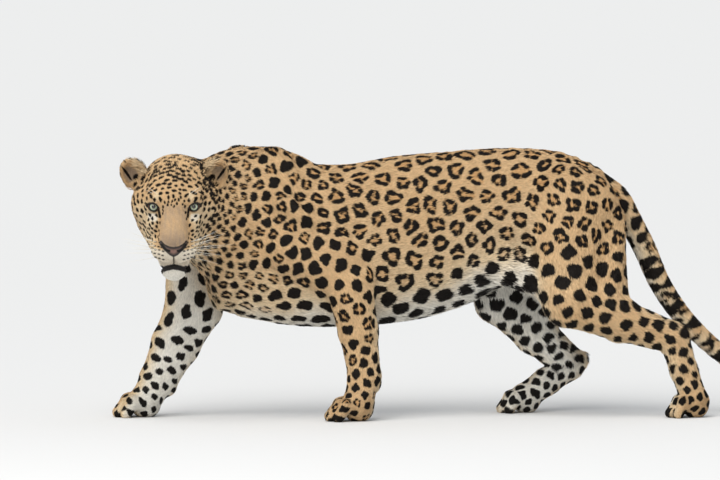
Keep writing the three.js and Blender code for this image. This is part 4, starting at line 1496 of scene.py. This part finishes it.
hide = mesh_object("hide", hide_spots, hide_quads)
for name, values in (("tone", hide_fields[:, TONE]), ("mark", hide_dark), ("tint", hide_tint)):
    put_attribute(hide.data, name, values)
hide_shader = Shader("short_underfur")
fine = hide_shader.noise(420.0, 2.0)
# Painted shade: the hide's colour is darkened and browned a little, for the shade down between the blades
# of the coat.
painted_shade_between_hairs = (0.5, 0.42, 0.36)
colour = hide_shader.mixed(0.35, coat_colour(hide_shader, fine), painted_shade_between_hairs, "MULTIPLY")
pile = hide_shader.bumped(fine, 0.6, 0.0006)
hide.data.materials.append(hide_shader.surfaced({"Base Color": colour, "Normal": pile, "Roughness": 0.75}))
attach(hide, "root")
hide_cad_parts(*[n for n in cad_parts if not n.startswith("eye_")])

# Coat. On the real animal it is guard hairs over short underfur, about a centimetre long on the body.
# Each tuft is a blade of two triangles, rooted on the hide and laid back along the coat's lie. The
# blades are parted into one piece, or a few, for each part of the body.
COVER = 3.2  # blades over each point of the hide
ROOT_SUNK = 0.8  # mm under the hide
WIDEST = 0.42  # the share of a blade's length from its root to its widest place
BOW = math.radians(16)  # how much steeper a blade rises before that place
LOWEST = 0.6  # mm over the floor
cover = COVER * (1 - 0.28 * hide_fields[:, ON_HEAD])
blade_density = (cover / (0.5 * hide_fields[:, LENGTH] * hide_fields[:, WIDTH]))[hide_quads].mean(1)
roots, normals, lies, fields = rooted(blade_density, 51)
dark, tint = markings_at(roots + lies * (0.4 * fields[:, LENGTH])[:, None], normals, fields)
draw = np.random.default_rng(52)
q = to_head(roots)
sided = half_face(q)
bald = (q[:, 1] > 112) & (in_leather(sided) | (off_line(sided, LEATHER) < 1.2))
for side in (1, -1):
    outside, over, y = lid_edges(q, side)
    bald |= (outside < 2.4) & (y > 2) & (y < 40)
bald |= (mouth_groove(q) < 5.5) & (q[:, 1] > 92) & (dark > 0)
keep = ~bald
roots, normals, lies, fields, dark, tint = (a[keep] for a in (roots, normals, lies, fields, dark, tint))
count = len(roots)
turn = 0.22 * ripple(roots, 26, 61) + draw.normal(0, 0.13, count)
across = np.cross(normals, lies)
lies = lies * np.cos(turn)[:, None] + across * np.sin(turn)[:, None]
across = np.cross(normals, lies)
at_tips = markings_at(roots + lies * (0.95 * fields[:, LENGTH])[:, None], normals, fields)[0]
ahead = dark + 0.6 * (at_tips - dark)
behind = 2 * dark - ahead
roll = draw.normal(0, 0.35, count)
side_way = across * np.cos(roll)[:, None] + normals * np.sin(roll)[:, None]
length = fields[:, LENGTH] * draw.uniform(0.72, 1.2, count)
width = fields[:, WIDTH] * draw.uniform(0.8, 1.2, count)
lift = np.radians(fields[:, LIFT] * draw.uniform(0.5, 1.6, count) + 3 * ripple(roots, 18, 62))
rise = lift + BOW
near_part = lies * np.cos(rise)[:, None] + normals * np.sin(rise)[:, None]
far_part = lies * np.cos(lift * 0.5)[:, None] + normals * np.sin(lift * 0.5)[:, None]
middle = roots + near_part * (WIDEST * length)[:, None]
tip = middle + far_part * ((1 - WIDEST) * length)[:, None]
start = roots - normals * ROOT_SUNK
half = side_way * (0.5 * width)[:, None]
blades = np.stack([start, middle - half, middle + half, tip], 1)
blades[:, :, 2] = np.maximum(blades[:, :, 2], LOWEST)
home = kinship(roots)[0].argmin(1)
strands = draw.random(count)

coat_shader = Shader("guard_hair")
strand = coat_shader.attribute("strand")
# Painted shade: each blade is darker at its root, down among the others, and lighter toward its tip;
# strand gives each blade its own random tone.
strand_tone_and_root_shade = 0.66 + strand * 0.36 + coat_shader.attribute("along") * 0.26
colour = coat_shader.shaded(coat_colour(coat_shader, strand), strand_tone_and_root_shade)
coat_shader.surfaced({"Base Color": colour, "Roughness": 0.6, "Specular IOR Level": 0.15})

LARGEST = 96000  # blades in one piece
PATCH = 0.0015  # half the size of a blade's patch on the unwrapped skin


def unwrapped(points, part):
    """Where roots are on the skin's own shape, unrolled round the part's length, from 0 to 1."""
    if part == "head":
        d = unit_rows(to_head(points) - [0, 30, -20])
        turn, rise = np.arctan2(d[:, 0], d[:, 1]), np.arcsin(np.clip(d[:, 2], -1, 1))
        return np.stack([turn / (2 * math.pi) + 0.5, rise / math.pi + 0.5], 1)
    if part == "tail":
        line = np.array(TAIL_LINE, float)
    elif part in LEGS:
        leg = LEGS[part]
        fore, hind = ("blade", "shoulder", "elbow", "wrist", "ball"), ("hip", "knee", "hock", "ball")
        bones = [leg[n] for n in (fore if "blade" in leg else hind)]
        line = np.array(bones + [plus(leg["ball"], [-leg["toe_reach"], 0, -20])], float)
    elif part == "neck":
        line = np.array([s[:3] for s in NECK], float)
    else:
        line = np.array([[t[0], 0, (t[1] + t[2]) / 2] for t in TRUNK])
    best = np.full(len(points), FAR)
    station = np.zeros(len(points))
    turn = np.zeros(len(points))
    passed = 0.0
    for a, b in zip(line, line[1:]):
        run = b - a
        t = np.clip((points - a) @ run / run.dot(run), 0, 1)
        d = points - a - t[:, None] * run
        gap = np.linalg.norm(d, axis=1)
        axis = unit(run)
        side = unit(np.cross(axis, [0, 1, 0]))
        other = np.cross(axis, side)
        nearer = gap < best
        best = np.where(nearer, gap, best)
        station = np.where(nearer, passed + t * np.linalg.norm(run), station)
        turn = np.where(nearer, np.arctan2(d @ other, d @ side), turn)
        passed += np.linalg.norm(run)
    return np.stack([turn / (2 * math.pi) + 0.5, station / passed], 1)


def coat_piece(name, rows, place):
    """The blades of these rows as one piece, each unwrapped to a patch at its root's place."""
    corners = blades[rows].reshape(-1, 3)
    n = len(rows)
    first = 4 * np.arange(n)[:, None]
    faces = np.concatenate([first + [0, 2, 1], first + [1, 2, 3]])
    piece = mesh_object(name, corners, faces, smooth=True)
    for label, values in (("tone", fields[rows, TONE]), ("tint", tint[rows]), ("strand", strands[rows])):
        put_attribute(piece.data, label, np.repeat(values, 4))
    marks = np.stack([behind[rows], dark[rows], dark[rows], ahead[rows]], 1)
    put_attribute(piece.data, "mark", marks.ravel())
    # along runs from 0 at the root to 1 at the tip, for the painted shade at the blades' roots.
    put_attribute(piece.data, "along", np.tile([0, 0.45, 0.45, 1.0], n))
    low, high = place.min(0), place.max(0)
    place = PATCH + (place - low) / np.maximum(high - low, 1e-6) * (1 - 2 * PATCH)
    shape = np.array([[0, -1], [-1, 0], [1, 0], [0, 1]]) * PATCH
    uv = (place[:, None] + shape).reshape(-1, 2)
    layer = piece.data.uv_layers.new(name="OFBake")
    layer.data.foreach_set("uv", uv[faces.ravel()].astype(np.float32).ravel())
    piece.data.materials.append(coat_shader.material)
    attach(piece, "root")


for k, part in enumerate(PARTS):
    rows = np.flatnonzero(home == k)
    if not len(rows):
        continue
    place = unwrapped(roots[rows], part)
    shares = math.ceil(len(rows) / LARGEST)
    order = np.argsort(place[:, 1], kind="stable")
    for number, chosen in enumerate(np.array_split(order, shares)):
        coat_piece(f"coat_{part}_{number + 1}", rows[chosen], place[chosen])


# Nose leather. The bare pebbled skin at the end of the muzzle, dark at its rim and pinkish in the middle.
# It is a thin closed pad, a little proud of the hide, with a dip for each nostril, painted near black as
# the shade in its opening.
PAD_PROUD = 0.9  # mm over the hide round it
PAD_DEPTH = 3.5


def leather_field(q):
    """Distance outside the pad of the nose, in the head's frame."""
    flat = half_face(q)
    edge = off_line(flat, LEATHER) * np.where(in_leather(flat), -1, 1)
    outer = hide_field(from_head(q)) - PAD_PROUD * (1 - np.exp(-np.clip(-edge, 0, 9) / 1.6))
    comma = off_line(flat, NOSTRIL_LINE) - 2.6
    dimple = 3.0 * (1 - fade(comma, -2.0, 1.2))
    middle = 0.9 * np.exp(-((flat[:, 0] / 1.3) ** 2)) * (flat[:, 1] < -110)
    outer = outer + dimple + middle
    return np.maximum(np.maximum(outer, -(outer + PAD_DEPTH)), np.maximum(edge, 118 - q[:, 1]))


pad_lines = (np.arange(-36, 36.5, 0.9), np.arange(120, 192, 0.9), np.arange(-60, 12, 0.9))
spots, quads = surface(leather_field, *pad_lines)
flat = half_face(spots)
nose_leather = mesh_object("nose_leather", from_head(spots), quads)
put_attribute(nose_leather.data, "inward", np.where(in_leather(flat), off_line(flat, LEATHER), 0))
put_attribute(nose_leather.data, "nostril", np.clip(4 - off_line(flat, NOSTRIL_LINE), 0, 4))
leather = Shader("nose_leather")
inward = leather.attribute("inward")
grain = leather.noise(260.0, 3.0)
pink = (inward + (grain - 0.5) * 3.0).risen(2.0, 7.0)
colour = leather.mixed(pink, paint(44, 32, 29), paint(134, 100, 86))
# Painted shade: near black in the nostrils' dips, for the dark inside the openings.
colour = leather.mixed(leather.attribute("nostril").risen(1.2, 3.0), colour, paint(16, 10, 10))
cells = leather.node("ShaderNodeTexVoronoi", None, {"Scale": 620.0, "Vector": leather.place()})
pebbles = leather.bumped(cells.outputs["Distance"], 0.5, 0.0005)
leather.surfaced({"Base Color": colour, "Roughness": 0.36 + grain * 0.25, "Normal": pebbles})
nose_leather.data.materials.append(leather.material)
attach(nose_leather, "root")

# Eyes. Glass balls, as in a museum model, with a clear bulge over the iris and wet all over. They are
# set behind the lids, and both are turned to whoever stands before the animal.
EYE_RADIUS = 16.0
IRIS_RADIUS = 8.9
WATCHED = HEAD_AXES @ unit([-0.139, -0.988, 0.07])


def ball_of_squares(steps):
    """Points over a ball one across, and the quads between them, with no poles."""
    line = np.tan(np.linspace(-math.pi / 4, math.pi / 4, steps + 1))
    a, b = (g.ravel() for g in np.meshgrid(line, line, indexing="ij"))
    spots, quads = [], []
    first = (np.arange(steps)[:, None] * (steps + 1) + np.arange(steps)).ravel()
    square = np.stack([first, first + steps + 1, first + steps + 2, first + 1], 1)
    for axis in range(3):
        for end in (1, -1):
            face = np.stack([np.full(len(a), float(end)), a * end, b], 1)
            quads.append(square + len(a) * len(spots))
            spots.append(np.roll(unit_rows(face), axis, axis=1))
    rounded, number = np.unique(np.round(np.concatenate(spots), 6), axis=0, return_inverse=True)
    return rounded, number.ravel()[np.concatenate(quads)]


eye_shader = Shader("wet_eye")
fibre_place = eye_shader.node("ShaderNodeAttribute", {"attribute_name": "fibre_place"})
fibres = eye_shader.noise(1.0, 4.0, fibre_place.outputs["Vector"])
off_axis = eye_shader.attribute("off_axis") + (fibres - 0.5) * 1.1
IRIS_REACH = 12  # mm off the eye's axis at the last stop
IRIS_STOPS = [
    (0.0, paint(5, 5, 5)),
    (1.0, paint(112, 84, 70)),
    (0.31, paint(6, 6, 5)),
    (0.345, paint(120, 116, 82)),
    (0.42, paint(176, 182, 152)),
    (0.58, paint(164, 176, 156)),
    (0.68, paint(104, 114, 98)),
    (0.735, paint(24, 20, 16)),
    (0.80, paint(26, 20, 17)),
    (0.88, paint(112, 84, 70)),
]
colour = eye_shader.shaded(eye_shader.ramp(off_axis * (1 / IRIS_REACH), IRIS_STOPS), 0.55 + fibres * 0.95)
eye_shader.surfaced({"Base Color": colour, "Roughness": 0.12, "Coat Weight": 1.0, "Coat Roughness": 0.02})
level = unit(np.cross(WATCHED, [0, 0, 1]))
upright = np.cross(level, WATCHED)
ball, ball_quads = ball_of_squares(44)
for name, side in (("eye_left", -1), ("eye_right", 1)):
    ahead = ball @ WATCHED
    off = EYE_RADIUS * np.linalg.norm(ball - ahead[:, None] * WATCHED, axis=1)
    bulge = 1.5 * np.maximum(1 - (off / (IRIS_RADIUS + 0.6)) ** 2, 0) * (ahead > 0)
    place = mirrored(EYE_CENTRE, side) + ball * (EYE_RADIUS - 0.3 + bulge)[:, None]
    eye = mesh_object(name.replace("eye", "eyeball"), from_head(place), ball_quads)
    turned = np.stack([ball @ level, ball @ upright], 1)
    turned = 7 * turned / np.maximum(np.linalg.norm(turned, axis=1), 1e-6)[:, None]
    fibre = np.column_stack([turned, 0.3 * off]).astype(np.float32)
    fibre_table = eye.data.attributes.new("fibre_place", "FLOAT_VECTOR", "POINT")
    fibre_table.data.foreach_set("vector", fibre.ravel())
    put_attribute(eye.data, "off_axis", np.where(ahead > 0, off, EYE_RADIUS))
    eye.data.materials.append(eye_shader.material)
    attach(eye, "root")
    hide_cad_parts(name)

# Whiskers. Long stiff white hairs, drawn out thin to their tips, in rows on the upper lips and in a
# group over each eye. Each is rooted under the skin, and a ring is swept along its line.
whisker_shader = Shader("white_whisker")
worn = whisker_shader.noise(90.0, 2.0)
colour = whisker_shader.mixed(worn, paint(250, 248, 240), paint(226, 218, 200))
whisker_shader.surfaced({"Base Color": colour, "Roughness": 0.4})
face = unit_rows(hide_q)[:, 1] > 0.2
face_rows = np.flatnonzero(face & (hide_q[:, 1] > 60))
face_flat = face_plane(hide_q[face_rows])
whisker_draw = np.random.default_rng(71)
STEPS = 12
WHISKER_THICK = 0.48  # mm, half across at the root
lines, ties, thick = [], [], []


def whisker(side, across, down, way, reach, sag):
    """One whisker's points, from under the skin at a place in the face plane."""
    row = face_rows[np.linalg.norm(face_flat - [side * across, down], axis=1).argmin()]
    root = hide_q[row]
    way = unit(mirrored(way, side))
    t = np.linspace(0, 1, STEPS + 1)[:, None]
    bend = np.array([0, -0.35, -0.25]) * sag
    path = root - way * 2 + t * way * reach + t**2 * bend * reach
    first = len(lines) * (STEPS + 1)
    ties.extend([first + k, first + k + 1] for k in range(STEPS))
    lines.append(from_head(path))
    thick.append(WHISKER_THICK * (1 - 0.85 * t[:, 0] ** 1.3))


for side in (1, -1):
    for number, (across, down) in enumerate(whisker_spots):
        if across < 27 or number % 5 == 1:
            continue
        rise = (down + 118) / 40
        way = [1.0, 0.35 - 0.2 * rise, 0.15 + 0.55 * rise + whisker_draw.uniform(-0.12, 0.12)]
        whisker(side, across, down, way, whisker_draw.uniform(52, 84), whisker_draw.uniform(0.1, 0.4))
    for across, down in ((36, 14), (41, 17), (46, 16)):
        way = [0.5 + whisker_draw.uniform(-0.1, 0.2), 0.55, 0.75]
        whisker(side, across, down, way, whisker_draw.uniform(34, 48), 0.5)
source = bpy.data.meshes.new("whiskers")
source.from_pydata(((np.concatenate(lines) + CENTRING) * MM).tolist(), ties, [])
put_attribute(source, "thick", np.concatenate(thick) * MM)

group = bpy.data.node_groups.new("swept_hairs", "GeometryNodeTree")
group.interface.new_socket("Geometry", in_out="INPUT", socket_type="NodeSocketGeometry")
sides_input = group.interface.new_socket("Sides", in_out="INPUT", socket_type="NodeSocketInt")
stout_input = group.interface.new_socket("Stoutness", in_out="INPUT", socket_type="NodeSocketFloat")
group.interface.new_socket("Geometry", in_out="OUTPUT", socket_type="NodeSocketGeometry")
hairs = Nodes(group)
given = hairs.node("NodeGroupInput")
thickness = hairs.node("GeometryNodeInputNamedAttribute", None, {"Name": "thick"})
stout = hairs.math("MULTIPLY", thickness.outputs["Attribute"], given.outputs["Stoutness"])
strands_drawn = hairs.node("GeometryNodeMeshToCurve", None, {"Mesh": given.outputs["Geometry"]})
ring_sockets = {"Resolution": given.outputs["Sides"], "Radius": 1.0}
ring = hairs.node("GeometryNodeCurvePrimitiveCircle", None, ring_sockets)
swept = hairs.node(
    "GeometryNodeCurveToMesh",
    None,
    {
        "Curve": strands_drawn.outputs["Curve"],
        "Profile Curve": ring.outputs["Curve"],
        "Scale": stout,
        "Fill Caps": True,
    },
)
real = hairs.node("GeometryNodeRealizeInstances", None, {"Geometry": swept.outputs["Mesh"]})
finish_sockets = {"Geometry": real.outputs["Geometry"], "Material": whisker_shader.material}
finish = hairs.node("GeometryNodeSetMaterial", None, finish_sockets)
hairs.node("NodeGroupOutput", None, {"Geometry": finish.outputs["Geometry"]})

drawn = in_scene("whisker_lines", source)
modifier = drawn.modifiers.new("swept_hairs", "NODES")
modifier.node_group = group
modifier[sides_input.identifier] = 6
modifier[stout_input.identifier] = 1.0
evaluated = drawn.evaluated_get(bpy.context.evaluated_depsgraph_get())
whisker_mesh = bpy.data.meshes.new_from_object(evaluated)
bpy.data.objects.remove(drawn)
whiskers = in_scene("whiskers", whisker_mesh)
if not whisker_mesh.materials:
    whisker_mesh.materials.append(whisker_shader.material)
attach(whiskers, "root")

# Floor, lights and camera. A plain pale studio: one flat floor, one soft window before the animal and
# a broad sky over it. The camera stands far off with a long lens, square to the body but for a few
# degrees, as in the photograph.
FLOOR_HALF = 40
corners = [(-FLOOR_HALF, -FLOOR_HALF, 0), (FLOOR_HALF, -FLOOR_HALF, 0)]
corners += [(FLOOR_HALF, FLOOR_HALF, 0), (-FLOOR_HALF, FLOOR_HALF, 0)]
floor_mesh = bpy.data.meshes.new("floor")
floor_mesh.from_pydata(corners, [], [(0, 1, 2, 3)])
in_scene("floor", floor_mesh)

world = bpy.data.worlds.new("studio")
world.use_nodes = True
world.node_tree.nodes["Background"].inputs["Color"].default_value = (0.92, 0.96, 1.0, 1)
world.node_tree.nodes["Background"].inputs["Strength"].default_value = 0.6
bpy.context.scene.world = world
bpy.context.scene.view_settings.view_transform = "Standard"


def aimed(name, data, place, way):
    """A lamp or camera at a place in metres, looking along a way."""
    made = in_scene(name, data)
    made.location = place
    made.rotation_euler = Vector(way).to_track_quat("-Z", "Y").to_euler()
    return made


window = bpy.data.lights.new("window", "AREA")
window.shape = "DISK"
window.size = 1.6
window.energy = 22
window.color = (1.0, 0.98, 0.95)
window_place = Vector((-1.6, -3.2, 2.2))
aimed("window", window, window_place, Vector((-0.4, 0, 0.45)) - window_place)
sky = bpy.data.lights.new("sky", "SUN")
sky.energy = 2.0
sky.angle = math.radians(50)
sky.color = (1.0, 0.97, 0.92)
aimed("sky", sky, (0, 0, 0), (0.45, 0.75, -1.15))

CAMERA_AWAY = 40.0
VIEW_WIDTH = 1.62  # metres across the view at the body
CAMERA_AZIMUTH = math.radians(-8)
CAMERA_ELEVATION = math.radians(4)
AIM_RIGHT, AIM_UP = -90, 398.25  # mm in the picture's plane
right_way = np.array([math.cos(CAMERA_AZIMUTH), math.sin(CAMERA_AZIMUTH), 0])
level_way = np.array([-math.sin(CAMERA_AZIMUTH), math.cos(CAMERA_AZIMUTH), 0])
ahead_way = level_way * math.cos(CAMERA_ELEVATION) + np.array([0, 0, -math.sin(CAMERA_ELEVATION)])
up_way = np.cross(right_way, ahead_way)
aim = (right_way * AIM_RIGHT + up_way * AIM_UP + CENTRING) * MM
camera = bpy.data.cameras.new("camera")
camera.sensor_width = 36
camera.lens = camera.sensor_width * CAMERA_AWAY / VIEW_WIDTH
camera.clip_end = 300
bpy.context.scene.camera = aimed("camera", camera, aim - ahead_way * CAMERA_AWAY, ahead_way)
